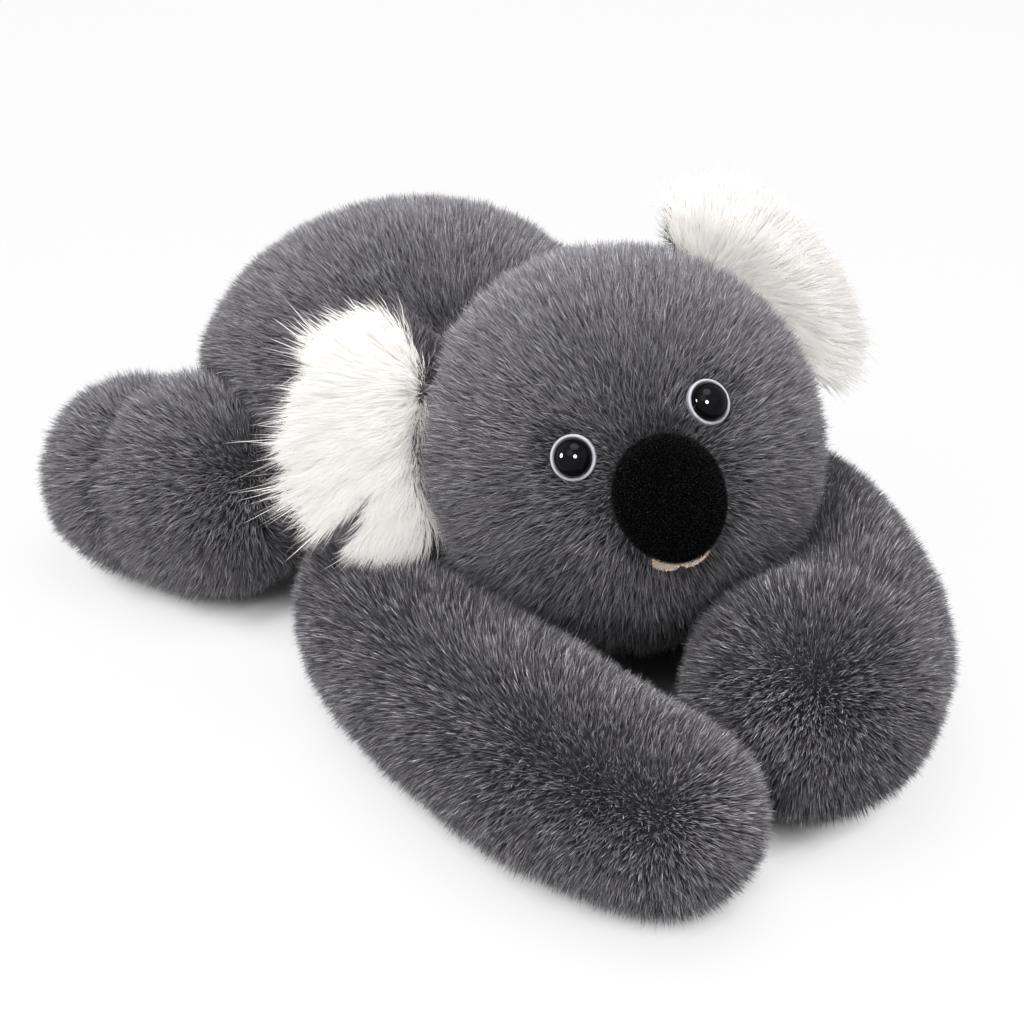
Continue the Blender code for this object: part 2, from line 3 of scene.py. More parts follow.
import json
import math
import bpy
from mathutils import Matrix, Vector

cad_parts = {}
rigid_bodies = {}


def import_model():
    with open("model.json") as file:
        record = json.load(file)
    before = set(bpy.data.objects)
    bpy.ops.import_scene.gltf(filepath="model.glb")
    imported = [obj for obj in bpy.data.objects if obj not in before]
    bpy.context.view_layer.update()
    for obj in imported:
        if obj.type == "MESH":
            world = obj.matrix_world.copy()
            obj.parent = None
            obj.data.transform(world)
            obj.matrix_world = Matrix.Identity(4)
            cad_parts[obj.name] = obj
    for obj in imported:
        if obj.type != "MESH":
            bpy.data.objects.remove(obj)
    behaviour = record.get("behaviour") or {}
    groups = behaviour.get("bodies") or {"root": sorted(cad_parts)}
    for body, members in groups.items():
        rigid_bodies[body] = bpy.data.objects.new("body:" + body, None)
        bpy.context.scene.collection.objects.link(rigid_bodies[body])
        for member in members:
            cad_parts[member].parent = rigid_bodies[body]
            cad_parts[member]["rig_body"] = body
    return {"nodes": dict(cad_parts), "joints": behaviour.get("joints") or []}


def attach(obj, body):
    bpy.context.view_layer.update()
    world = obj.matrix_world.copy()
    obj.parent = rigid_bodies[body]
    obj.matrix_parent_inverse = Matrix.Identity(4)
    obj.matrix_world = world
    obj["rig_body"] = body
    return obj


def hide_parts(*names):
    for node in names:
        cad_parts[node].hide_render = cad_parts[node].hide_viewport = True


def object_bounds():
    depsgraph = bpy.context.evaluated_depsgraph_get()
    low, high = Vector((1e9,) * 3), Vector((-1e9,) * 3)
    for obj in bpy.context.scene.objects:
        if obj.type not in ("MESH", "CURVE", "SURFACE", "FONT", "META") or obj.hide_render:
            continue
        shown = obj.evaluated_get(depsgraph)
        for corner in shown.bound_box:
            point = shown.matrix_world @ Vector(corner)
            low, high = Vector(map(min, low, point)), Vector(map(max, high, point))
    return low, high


bl_info = {
    "name": "Plush Koala",
    "version": (1, 0, 0),
    "blender": (4, 5, 0),
    "location": "View3D > Sidebar > Koala",
    "description": "Dresses the koala's frame in fur and gives it its face and its studio",
    "category": "Object",
}

from contextlib import contextmanager

import bpy
import numpy as np
from mathutils import Matrix, Vector
from mathutils.bvhtree import BVHTree

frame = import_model()
CAD_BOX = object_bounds()
JOINTS = {joint["name"]: joint for joint in frame["joints"]}

MM = 0.001
WHITE = (1.0, 1.0, 1.0)

HEAD_CENTRE = Vector(JOINTS["neck_turn"]["pos_m"])
HEAD_RADIUS = 78.5 * MM

# The pile's map: each strand takes one of these columns, and its root is at the bottom
PILE_MAP = "OFBake"
COLUMNS = 96
MOST_STRANDS = 96000
MOST_LONG_STRANDS = 48000
SHORT_STATIONS = (0.0, 0.45, 1.0)
LONG_STATIONS = (0.0, 0.3, 0.66, 1.0)
SHORTEST_STRAND = 1.2 * MM
# A normal that points down by more than this is on the underside
UNDERSIDE = -0.45
# These make one number of a tuft cell's three, and this is the way along which faces are sorted
TUFT_PRIMES = (73856093, 19349663, 83492791)
SORTING_WAY = (0.2871, 0.5503, 0.7837)

# The middle of each arm in millimetres, from the shoulder to the paw, seen from above
ARM_LINES = {
    "left": ((50, -56), (66.4, -99.4), (83.6, -142.5), (70.1, -186.9), (47.8, -227.6), (8.9, -252.8)),
    "right": (
        *((-50, -56), (-80.8, -90.7), (-92.8, -135.5)),
        *((-94.3, -181.9), (-91.5, -228.2), (-76.9, -272.2)),
    ),
}
ARM_HEIGHT = 36 * MM
# How far a stretch of an arm's middle line bends the fur round it
ARM_STRETCH_REACH = 26 * MM

# The middle of each thigh and foot along a leg, from its hip, and their radii
LEG_SPLAY = math.radians(26.0)
THIGH_STRETCH = (0.0, 8 * MM)
FOOT_STRETCH = (27 * MM, 37 * MM)
THIGH_RADIUS = 46.5 * MM
FOOT_RADIUS = 42.5 * MM

# Where an ear's white fur meets the head, from its foot to its top, as shares of its half sizes
EAR_HALF_REACH = 38 * MM
EAR_HALF_HEIGHT = 47 * MM
EAR_EDGE_HEIGHTS = (-1.0, -0.8, -0.6, -0.4, -0.2, 0.0, 0.2, 0.4, 0.6, 0.8, 1.0)
EAR_EDGES = {
    "left": (-1.6,) * len(EAR_EDGE_HEIGHTS),
    "right": (-0.70, -0.52, -0.32, -0.17, -0.13, -0.10, -0.17, -0.17, -0.06, 0.12, 0.45),
}

# How far an ear's longest fur passes its rim, by the angle from its outermost point up towards its top
RIM_ANGLES = tuple(math.radians(angle) for angle in (-180, -135, -90, -45, 0, 45, 90, 135, 180))
EAR_RIMS = {
    "left": tuple(reach * MM for reach in (14, 9, 14, 2, 2, 7, 11, 17, 14)),
    "right": tuple(reach * MM for reach in (6, 14, 9, 18, 18, 12, 7, 2, 2)),
}
EAR_INSET = 2.5 * MM
EAR_TOP = CAD_BOX[1][2] + 15 * MM

# Painted glow: how much light of its own each ear's white fur gives off, though it is no lamp; the right
# ear gets more, as less lamp light falls on it
EAR_PAINTED_GLOWS = {"left": 0.14, "right": 0.22}

# The gap between the right ear's two lower locks: where it opens, its way and half its angle
FORK_PLACE = (0.12, -0.42)
FORK_WAY = math.radians(-52)
FORK_HALF_ANGLE = math.radians(17)

# The lip's place on the head: how far round it lies under the nose, and how far to the right
LIP_DROP = math.radians(16.9)
LIP_SHIFT = 0.035

# The lamps that only the eyes' domes show: their names, places from the eyes and sizes
GLINTS = (("glint_front", (-0.47, -0.68, 0.56), 0.32), ("glint_side", (-0.88, 0.40, 0.25), 0.3))

LAMP_TARGET = Vector((0.0, -0.12, 0.07))
KEY_PLACE = Vector((-1.05, -0.35, 1.3))
TOP_PLACE = Vector((-0.05, -0.05, 1.5))

# The floor near the koala, and how far its rim is pulled out from there
FLOOR_MIDDLE = (0.0, -0.1, 0.0)
FLOOR_SIZE = (0.65, 0.75, 1.0)
FLOOR_STRETCH = (18.0, 16.0, 1.0)
# The half sizes of the floor that the koala can shade, and the rise and number of the rays that test it
SHADED_REACH = (0.25, 0.3)
SKY_RINGS = ((0.9, 6), (0.7, 9), (0.5, 11))


def deselect():
    if bpy.context.mode != "OBJECT":
        bpy.ops.object.mode_set(mode="OBJECT")
    bpy.ops.object.select_all(action="DESELECT")


def pick(piece):
    deselect()
    piece.select_set(True)
    bpy.context.view_layer.objects.active = piece


@contextmanager
def editing(piece, select="SELECT"):
    """Edit mode on one piece, with all of its mesh selected, none of it, or what was selected."""
    pick(piece)
    bpy.ops.object.mode_set(mode="EDIT")
    if select:
        bpy.ops.mesh.select_all(action=select)
    yield
    bpy.ops.object.mode_set(mode="OBJECT")


def shape_with(piece, kind, **values):
    """Adds one modifier with these values and applies it."""
    pick(piece)
    modifier = piece.modifiers.new(kind.lower(), kind)
    for key, value in values.items():
        setattr(modifier, key, value)
    bpy.ops.object.modifier_apply(modifier=modifier.name)


def settle(piece):
    """Puts the object's place into its mesh, with its normals outwards and its faces smooth."""
    pick(piece)
    bpy.ops.object.transform_apply(location=True, rotation=True, scale=True)
    with editing(piece):
        bpy.ops.mesh.remove_doubles(threshold=0.01 * MM)
        bpy.ops.mesh.normals_make_consistent(inside=False)
    bpy.ops.object.shade_smooth()


def make_ball(segments):
    deselect()
    bpy.ops.mesh.primitive_uv_sphere_add(segments=segments, ring_count=segments // 2, radius=1.0)
    return bpy.context.object


def read(items, key, width=3, kind=np.float64):
    """One property of all these items, as an array with a row for each."""
    values = np.empty(len(items) * width, kind)
    items.foreach_get(key, values)
    return values.reshape(-1, width)


def move_points(mesh, points):
    mesh.vertices.foreach_set("co", points.ravel())
    mesh.update()


def centre_of(*nodes):
    """The mean of some nodes' corners, which lies on the axis of a turned form."""
    points = [vert.co for node in nodes for vert in frame["nodes"][node].data.vertices]
    return sum(points, Vector()) / len(points)


def solids_tree(skipped=()):
    """A search tree of the CAD solids, apart from those on the skipped bodies."""
    corners, faces = [], []
    for node in frame["nodes"].values():
        if node["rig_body"] not in skipped:
            start = len(corners)
            corners += [vert.co.copy() for vert in node.data.vertices]
            faces += [[start + i for i in face.vertices] for face in node.data.polygons]
    return BVHTree.FromPolygons(corners, faces)


def joined_copy(name, nodes):
    """One closed mesh from copies of these CAD nodes."""
    deselect()
    copies = []
    for node in nodes:
        copy = bpy.data.objects.new(name, frame["nodes"][node].data.copy())
        bpy.context.collection.objects.link(copy)
        copy.select_set(True)
        copies.append(copy)
    piece = copies[0]
    bpy.context.view_layer.objects.active = piece
    bpy.ops.object.join()
    piece.name = piece.data.name = name
    piece.data.materials.clear()
    with editing(piece):
        bpy.ops.mesh.remove_doubles(threshold=0.01 * MM)
    return piece


def make_skin(name, body, nodes, look, inset, voxel=4.0 * MM, rounds=6, beside=()):
    """A stuffed skin under the pile. It follows its CAD solids, inset to where the strands are rooted.

    Beside names solids that the skin runs on into.
    """
    piece = joined_copy(name, (*nodes, *beside))
    shape_with(piece, "REMESH", mode="VOXEL", voxel_size=voxel, adaptivity=0.0)
    shape_with(piece, "SMOOTH", factor=0.5, iterations=rounds)
    shape_with(piece, "DISPLACE", direction="NORMAL", strength=-inset, mid_level=0.0)
    shape_with(piece, "SMOOTH", factor=0.5, iterations=2)
    pick(piece)
    bpy.ops.object.shade_smooth()
    for layer in list(piece.data.uv_layers):
        piece.data.uv_layers.remove(layer)
    piece.data.materials.append(look)
    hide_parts(*nodes)
    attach(piece, body)
    return piece


def make_grey_skin(name, body, nodes, beside=()):
    inset = bpy.context.scene.koala_fur.inset
    return make_skin(name, body, nodes, grey_backing(), inset, beside=beside)


def ripple(points, size, seed):
    """Smooth noise from about -1 to 1 whose bumps are this far apart."""
    random = np.random.default_rng(seed)
    total = np.zeros(len(points))
    for _ in range(7):
        way = random.normal(size=3)
        way *= math.tau / size / np.linalg.norm(way) * random.uniform(0.7, 1.3)
        total += np.sin(points @ way + random.uniform(0, math.tau))
    return total / 3.0


def unit(vectors):
    return vectors / np.maximum(np.linalg.norm(vectors, axis=1, keepdims=True), 1e-9)


def along_skin(vectors, normals):
    """The part of each vector that lies in the skin, as a unit vector."""
    return unit(vectors - normals * np.sum(vectors * normals, axis=1, keepdims=True))


def swirled(flat, normals, angles):
    """Directions in the skin, each turned by its angle."""
    side = np.cross(normals, flat)
    return flat * np.cos(angles)[:, None] + side * np.sin(angles)[:, None]


def smooth_share(values, low, high):
    share = np.clip((values - low) / (high - low), 0.0, 1.0)
    return share * share * (3 - 2 * share)


class Skin:
    """A skin's surface as arrays, with the room over each point before another body's solids."""

    def __init__(self, piece, reach, *bodies):
        mesh = piece.data
        mesh.calc_loop_triangles()
        self.points = read(mesh.vertices, "co")
        self.normals = read(mesh.vertex_normals, "vector")
        self.corners = read(mesh.loop_triangles, "vertices", kind=np.int32)
        self.room = np.full(len(self.points), reach)
        others = solids_tree(bodies)
        for i, (point, normal) in enumerate(zip(self.points, self.normals)):
            hit = others.ray_cast(Vector(point), Vector(normal), reach)
            if hit[0] is not None:
                self.room[i] = hit[3]

    def sort_faces(self):
        """Orders the faces by their places, because a new ball lists them in another order each run."""
        heights = self.points[self.corners] @ SORTING_WAY
        turns = (heights.argmin(axis=1)[:, None] + np.arange(3)) % 3
        corners = np.take_along_axis(self.corners, turns, axis=1)
        self.corners = corners[np.argsort(heights.sum(axis=1))]

    def scatter(self, density, random):
        """Evenly spread roots: their places, normals and the room over them."""
        a, b, c = (self.points[self.corners[:, k]] for k in range(3))
        areas = np.linalg.norm(np.cross(b - a, c - a), axis=1) / 2
        steps = np.cumsum(areas)
        count = int(steps[-1] * density)
        drawn = (np.arange(count) + random.random(count)) / count * steps[-1]
        face = np.minimum(np.searchsorted(steps, drawn), len(areas) - 1)
        u, v = random.random((2, count))
        over = u + v > 1
        u[over], v[over] = 1 - u[over], 1 - v[over]
        weights = np.stack([1 - u - v, u, v], 1)[:, :, None]
        picked = self.corners[face]
        points = np.sum(self.points[picked] * weights, axis=1)
        normals = unit(np.sum(self.normals[picked] * weights, axis=1))
        room = np.sum(self.room[picked] * weights[:, :, 0], axis=1)
        return points, normals, room


def tuft(line, stations, cell, pull, random):
    """Draws the tips of strands that share a cell towards their mean, as pile clings in tufts."""
    turned = line[:, 0] @ np.linalg.qr(random.normal(size=(3, 3)))[0]
    keys = np.floor(turned / cell + random.random(3)).astype(np.int64)
    keys = np.bitwise_xor.reduce(keys * TUFT_PRIMES, axis=1)
    _, group = np.unique(keys, return_inverse=True)
    group = group.ravel()
    members = np.bincount(group)
    tips = np.stack([np.bincount(group, line[:, -1, k]) / members for k in range(3)], 1)
    toward = (tips[group] - line[:, -1]) * (pull * random.uniform(0.2, 1.0, len(line)))[:, None]
    for step, share in enumerate(stations):
        line[:, step] += toward * share**1.5


def strand_mesh(name, line, stations, normals, width, columns, softness):
    """Flat strands along these lines, pointed at both ends, with their fronts away from the skin."""
    count = len(line)
    last = len(stations) - 1
    random = np.random.default_rng(count)
    ends = unit(line[:, -1] - line[:, 0])
    across = unit(np.cross(ends, normals) + 1e-6)
    lift = np.cross(across, ends)
    twist = random.uniform(-1.4, 1.4, count)[:, None]
    across = across * np.cos(twist) + lift * np.sin(twist)
    per_strand = 2 * last
    points = np.empty((count, per_strand, 3))
    points[:, 0] = line[:, 0]
    points[:, -1] = line[:, -1]
    for step in range(1, last):
        half = across * (width * (1.0 if step == 1 else 0.75) / 2)[:, None]
        points[:, 2 * step - 1] = line[:, step] - half
        points[:, 2 * step] = line[:, step] + half
    faces = [[0, 2, 1]]
    for step in range(1, last - 1):
        low = 2 * step - 1
        faces += [[low, low + 1, low + 3], [low, low + 3, low + 2]]
    faces.append([2 * last - 3, 2 * last - 2, 2 * last - 1])
    corners = np.array(faces).ravel()
    sides = np.array([0.5, *[0.15, 0.85] * (last - 1), 0.5])
    rises = np.array([0.0, *np.repeat(stations[1:-1], 2), 1.0]) * 0.96 + 0.02
    mesh = bpy.data.meshes.new(name)
    mesh.vertices.add(count * per_strand)
    mesh.vertices.foreach_set("co", points.astype(np.float32).ravel())
    mesh.loops.add(count * len(corners))
    indices = np.arange(count)[:, None] * per_strand + corners[None, :]
    mesh.loops.foreach_set("vertex_index", indices.astype(np.int32).ravel())
    mesh.polygons.add(count * len(faces))
    mesh.polygons.foreach_set("loop_start", np.arange(count * len(faces), dtype=np.int32) * 3)
    mesh.update(calc_edges=True)
    spread = np.empty((count, len(corners), 2))
    spread[:, :, 0] = (columns[:, None] + sides[corners][None]) / COLUMNS
    spread[:, :, 1] = rises[corners][None]
    layer = mesh.uv_layers.new(name=PILE_MAP)
    layer.data.foreach_set("uv", spread.astype(np.float32).ravel())
    blended = unit(normals * softness + np.cross(across, ends) * (1 - softness))
    held = mesh.attributes.new("custom_normal", "FLOAT_VECTOR", "POINT")
    held.data.foreach_set("vector", np.repeat(blended, per_strand, axis=0).astype(np.float32).ravel())
    mesh.update()
    return mesh


def bend_strands(points, normals, way, lean, length, stations, curl):
    """Lines that rise from their roots and lean more and more the way they are laid."""
    line = np.empty((len(points), len(stations), 3))
    line[:, 0] = points
    for step in range(1, len(stations)):
        middle = (stations[step] + stations[step - 1]) / 2
        angle = lean * (1 - curl + 2 * curl * middle)
        rise = normals * np.cos(angle)[:, None] + way * np.sin(angle)[:, None]
        reach = length * (stations[step] - stations[step - 1])
        line[:, step] = line[:, step - 1] + rise * reach[:, None]
    return line


def add_coat(name, line, stations, normals, width, softness, look, body, random):
    """Makes the strands' meshes, in as many pieces as their triangles need."""
    count = len(line)
    columns = random.integers(0, COLUMNS, count)
    parts = math.ceil(count / (MOST_STRANDS if len(stations) == 3 else MOST_LONG_STRANDS))
    order = random.permutation(count)
    for part in range(parts):
        chosen = order[part::parts]
        label = f"{name}_{chr(ord('a') + part)}" if parts > 1 else name
        picked = (values[chosen] for values in (normals, width, columns))
        mesh = strand_mesh(label, line[chosen], stations, *picked, softness)
        mesh.materials.append(look)
        piece = bpy.data.objects.new(label, mesh)
        bpy.context.collection.objects.link(piece)
        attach(piece, body)


def grow_pile(name, skin, body, seed, flow, trim=None, tilt=None, look=None):
    """Roots the grey pile over a skin and lays it along a flow.

    Flow gives each root a direction and trim a share of the full length, from its point and normal.
    """
    fur = bpy.context.scene.koala_fur
    tilt = fur.tilt if tilt is None else tilt
    random = np.random.default_rng(seed)
    points, normals, room = skin.scatter(fur.density / MM**2, random)
    below = (normals[:, 2] < UNDERSIDE) & (random.random(len(points)) > fur.under_share)
    points, normals, room = points[~below], normals[~below], room[~below]
    length = np.full(len(points), fur.pile / math.cos(tilt))
    if trim:
        length *= trim(points, normals)
    length *= np.clip(room / (fur.pile * 1.1), 0.25, 1.0)
    length *= 1 + 0.05 * ripple(points, 23 * MM, seed) + 0.05 * ripple(points, 9 * MM, seed + 1)
    length *= random.normal(1.0, 0.16, len(points)).clip(0.45, 1.4)
    kept = length > SHORTEST_STRAND
    points, normals, length = points[kept], normals[kept], length[kept]
    count = len(points)
    flat = along_skin(flow(points, normals), normals)
    swirl = 0.12 * ripple(points, 34 * MM, seed + 2) + random.normal(0, 0.5, count)
    way = swirled(flat, normals, swirl)
    lean = tilt + 0.05 * ripple(points, 28 * MM, seed + 3) + random.normal(0, 0.17, count)
    line = bend_strands(points, normals, way, lean, length, SHORT_STATIONS, 0.5)
    tuft(line, SHORT_STATIONS, 1.8 * MM, 0.35, random)
    tuft(line, SHORT_STATIONS, 6 * MM, 0.12, random)
    low = 0.4 * MM + random.random((count, 1)) * 0.8 * MM
    line[:, 1:, 2] = np.maximum(line[:, 1:, 2], low)
    width = fur.strand_width * random.uniform(0.65, 1.35, count)
    look = look or grey_pile()
    add_coat(name, line, SHORT_STATIONS, normals, width, fur.softness, look, body, random)


class Field:
    """A shader socket on which Python's operators build maths nodes."""

    def __init__(self, web, socket):
        self.web = web
        self.socket = socket

    def beside(self, output):
        """Another output of the same node."""
        return Field(self.web, self.socket.node.outputs[output])

    def maths(self, operation, *values):
        return self.web.node("Math", 0, dict(enumerate((self, *values))), operation=operation)

    def __add__(self, value):
        return self.maths("ADD", value)

    __radd__ = __add__

    def __sub__(self, value):
        return self.maths("SUBTRACT", value)

    def __rsub__(self, value):
        return self.web.node("Math", 0, {0: value, 1: self}, operation="SUBTRACT")

    def __mul__(self, value):
        return self.maths("MULTIPLY", value)

    def floor(self):
        return self.maths("FLOOR")

    def span(self, low, high):
        """Maps low..high smoothly to 0..1 and holds the ends."""
        inputs = {0: self, 1: low, 2: high}
        return self.web.node("MapRange", 0, inputs, interpolation_type="SMOOTHSTEP")


class Web:
    """A node tree whose pattern is written as expressions of its sockets."""

    def __init__(self, tree):
        self.tree = tree

    def node(self, kind, output, inputs, **settings):
        """Adds a node with these settings, feeds its inputs and returns one of its outputs."""
        made = self.tree.nodes.new("ShaderNode" + kind)
        for key, value in settings.items():
            setattr(made, key, value)
        for key, value in inputs.items():
            self.feed(made.inputs[key], value)
        return Field(self, made.outputs[output])

    def feed(self, socket, value):
        if isinstance(value, Field):
            self.tree.links.new(value.socket, socket)
        else:
            socket.default_value = (*value, 1.0) if socket.type == "RGBA" else value

    def shown(self):
        """1 for what is seen, directly or in a mirror or glass, and 0 for the light given to others."""
        ray = self.node("LightPath", "Is Camera Ray", {})
        return ray + ray.beside("Is Glossy Ray") + ray.beside("Is Transmission Ray")


class Look(Web):
    """A material."""

    def __init__(self, name):
        self.material = bpy.data.materials.new(name)
        self.material.use_nodes = True
        super().__init__(self.material.node_tree)
        self.shader = self.tree.nodes["Principled BSDF"]

    def place(self):
        return self.node("TexCoord", "Object", {})

    def noise(self, scale, detail=3.0, roughness=0.6):
        inputs = {"Vector": self.place(), "Scale": scale, "Detail": detail, "Roughness": roughness}
        return self.node("TexNoise", "Fac", inputs)

    def mix(self, share, first, second):
        inputs = {0: share, 6: first, 7: second}
        return self.node("Mix", 2, inputs, data_type="RGBA", clamp_factor=True)

    def bump(self, height, distance, strength=1.0):
        return self.node("Bump", 0, {"Height": height, "Distance": distance, "Strength": strength})

    def finish(self, **inputs):
        """Feeds the shader's sockets by name, with spaces as underscores."""
        for key, value in inputs.items():
            self.feed(self.shader.inputs[key.replace("_", " ")], value)
        return self.material


def toned(colour, share):
    return [value * share for value in colour]


def pile_look(name, root, middle, tip, frost, sheen, unlike, glow=0.0):
    """A strand's colour: dark at its root, which in part paints the shade deep in the pile, and frosted at
    some tips.

    Unlike is how far the strands differ in lightness.
    """
    look = Look(name)
    column = look.node("SeparateXYZ", "X", {0: look.node("UVMap", 0, {}, uv_map=PILE_MAP)})
    rise = column.beside("Y")
    column = (column * COLUMNS).floor()
    luck = look.node("TexWhiteNoise", "Value", {"W": column}, noise_dimensions="1D")
    second = look.node("TexWhiteNoise", "Value", {"W": column + 300.5}, noise_dimensions="1D")
    body = look.mix(rise.span(0.05, 0.55), root, middle)
    pale = look.mix((luck - 0.62).span(0.0, 0.30), tip, frost)
    coat = look.mix(rise.span(0.40, 0.95), body, pale)
    dull = look.node("HueSaturation", 0, {"Color": coat, "Value": 1 - unlike / 2 + second * unlike})
    # Painted glow: the strands give off their own colour as light, though they are no lamp
    if glow:
        look.finish(Emission_Color=dull, Emission_Strength=glow)
    roughness = 0.62 + luck * 0.2
    return look.finish(Base_Color=dull, Roughness=roughness, Sheen_Weight=sheen, Specular_IOR_Level=0.25)


def cloth_look(look, fleck, colour):
    """Finishes a skin's cloth, with this fleck in its weave."""
    return look.finish(
        Base_Color=colour,
        Roughness=0.85 + fleck * 0.1,
        Normal=look.bump(fleck, 0.6 * MM),
        Sheen_Weight=0.2,
        Specular_IOR_Level=0.2,
    )


def ear_backing(lobe, white, grey):
    """The ear's skin, white in front and grey behind and under the head's fur."""
    look = Look("backing_" + lobe.side)
    fleck = look.noise(900.0, 4.0)
    reach, depth = (
        look.node("VectorMath", "Value", {0: look.place(), 1: way}, operation="DOT_PRODUCT")
        - float(lobe.middle @ way)
        for way in (lobe.out, lobe.front)
    )
    inner = float(np.mean(lobe.edge)) * EAR_HALF_REACH
    pale = reach.span(inner - 1 * MM, inner + 2 * MM) * depth.span(-5 * MM, -2 * MM)
    colour = look.mix(pale, grey, white)
    dull = look.node("HueSaturation", 0, {"Color": colour, "Value": 0.85 + fleck * 0.15})
    return cloth_look(look, fleck, dull)


def velvet_look(name, dark, light):
    """Short black velvet, with a fine nap that brushes lighter in patches."""
    look = Look(name)
    nap = look.noise(1500.0, 2.0)
    brushed = look.noise(90.0)
    return look.finish(
        Base_Color=look.mix(nap * 0.6 + brushed * 0.4, dark, light),
        Roughness=0.9 - nap * 0.1,
        Normal=look.bump(nap, 0.25 * MM, 0.8),
        Sheen_Weight=0.0,
        Specular_IOR_Level=0.0,
    )


def felt_look(name, base, shade):
    look = Look(name)
    fibres = look.noise(700.0, 5.0, 0.7)
    mottle = look.noise(160.0)
    return look.finish(
        Base_Color=look.mix(fibres * 0.6 + mottle * 0.5, shade, base),
        Roughness=0.82 + fibres * 0.12,
        Normal=look.bump(fibres + mottle, 0.5 * MM),
        Sheen_Weight=0.15,
    )


def plastic_look(name, base, worn, roughness, coat, specular):
    look = Look(name)
    haze = look.noise(220.0)
    fine = look.noise(1400.0, 2.0)
    return look.finish(
        Base_Color=look.mix(haze.span(0.35, 0.75), base, worn),
        Roughness=roughness + haze * 0.03,
        Normal=look.bump(fine, 0.004 * MM, 0.3),
        Specular_IOR_Level=specular,
        Coat_Weight=coat,
        Coat_Roughness=0.03,
    )


def grey_pile(name="grey_pile", share=1.0):
    """The grey fur's look, with painted light: its colours lighter by a share, for the arms, as if more
    light fell on their pile.
    """
    made = bpy.data.materials.get(name)
    if made:
        return made
    fur = bpy.context.scene.koala_fur
    tones = [toned(tone, share) for tone in (fur.root, fur.middle, fur.tip, fur.frost)]
    return pile_look(name, *tones, 0.1, 1.0)


def grey_backing():
    """The look of the grey skins under their pile, darkened towards the roots' colour, which in part paints
    the shade at the pile's foot.
    """
    made = bpy.data.materials.get("grey_backing")
    if made:
        return made
    fur = bpy.context.scene.koala_fur
    look = Look("grey_backing")
    fleck = look.noise(900.0, 4.0)
    patch = look.noise(60.0)
    return cloth_look(look, fleck, look.mix(fleck * 0.7 + patch * 0.3, toned(fur.root, 0.8), fur.middle))


def setting(name, description, default, kind="NONE"):
    """A setting of one number, or of three where its default is a tuple."""
    make = bpy.props.FloatVectorProperty if isinstance(default, tuple) else bpy.props.FloatProperty
    key = "unit" if kind in ("LENGTH", "POWER") else "subtype"
    return make(name=name, description=description, default=default, **{key: kind})


class KoalaFur(bpy.types.PropertyGroup):
    pile: setting("Pile", "Depth of the grey fur over its skin", 9.2 * MM, "LENGTH")
    inset: setting("Inset", "How far the skins lie inside the solids", 4.6 * MM, "LENGTH")
    density: setting("Density", "Grey strands on a square millimetre", 2.3)
    strand_width: setting("Strand width", "Width of a grey strand at its widest", 0.36 * MM, "LENGTH")
    tilt: setting("Tilt", "Lean of the torso's pile", math.radians(18), "ANGLE")
    face_tilt: setting("Face tilt", "Lean of the pile on the head and the ears", math.radians(28), "ANGLE")
    arm_tilt: setting("Arm tilt", "Lean of the pile on the arms", math.radians(6), "ANGLE")
    # Painted light: the arms' pile is the same fur, made lighter by this many times, as if more light fell
    # on it
    arm_painted_light: setting("Arm share", "How many times lighter the arms' upright pile is", 1.38)
    leg_tilt: setting("Leg tilt", "Lean of the pile on the legs", math.radians(28), "ANGLE")
    under_share: setting("Under share", "Share of the strands kept on the underside", 0.5, "FACTOR")
    softness: setting("Softness", "How evenly the grey strands take the light", 0.34, "FACTOR")
    # Partly painted shade: the roots' near black stands for the shade deep in the pile as well as for the
    # fur's own darker base
    root: setting("Root", "Colour of the grey fur at its roots", (0.012, 0.0115, 0.013), "COLOR")
    middle: setting("Middle", "Colour of the grey fur's shafts", (0.154, 0.148, 0.16), "COLOR")
    tip: setting("Tip", "Colour of the grey fur's tips", (0.282, 0.272, 0.29), "COLOR")
    frost: setting("Frost", "Colour of the palest tips", (0.72, 0.705, 0.73), "COLOR")
    ear_density: setting("Ear density", "White strands on a square millimetre", 3.4)
    ear_length: setting("Ear length", "Length of the white fur inside the rim", 16 * MM, "LENGTH")
    ear_overhang: setting("Ear overhang", "How far the white fur passes the rim, as a share", 1.0)
    ear_wisp: setting("Ear wisp", "How much further the longest strands go, as a share", 0.8)
    # Painted glow: a share on the light that the ears' white fur gives off of its own
    ear_painted_glow: setting("Ear glow", "How much light the white fur passes on, as a share", 1.0)
    ear_tilt: setting("Ear tilt", "Lean of the ears' white fur", math.radians(52), "ANGLE")
    ear_strand_width: setting("Ear strand width", "Width of a white strand", 0.36 * MM, "LENGTH")
    ear_white: setting("Ear white", "Colour of the ears' fur", (0.95, 0.93, 0.905), "COLOR")


class KoalaFace(bpy.types.PropertyGroup):
    ring_radius: setting("Eye ring", "Radius of an eye's white ring", 8.9 * MM, "LENGTH")
    dome_radius: setting("Eye dome", "Radius of an eye's black dome", 7.4 * MM, "LENGTH")
    dome_height: setting("Dome height", "Rise of the dome over the ring", 5.6 * MM, "LENGTH")
    glint_power: setting("Glint", "Power of each lamp that only the eyes' domes show", 75.0, "POWER")
    nose_size: setting("Nose", "Width, height and depth of the nose", (0.045, 0.051, 0.034), "LENGTH")
    mouth_size: setting("Mouth", "Width, height and depth of the lip", (0.0225, 0.0092, 0.013), "LENGTH")
    nose_colour: setting("Nose colour", "Colour of the nose's velvet", (0.001, 0.001, 0.0011), "COLOR")
    lip_colour: setting("Lip colour", "Colour of the mouth's felt", (0.95, 0.80, 0.68), "COLOR")


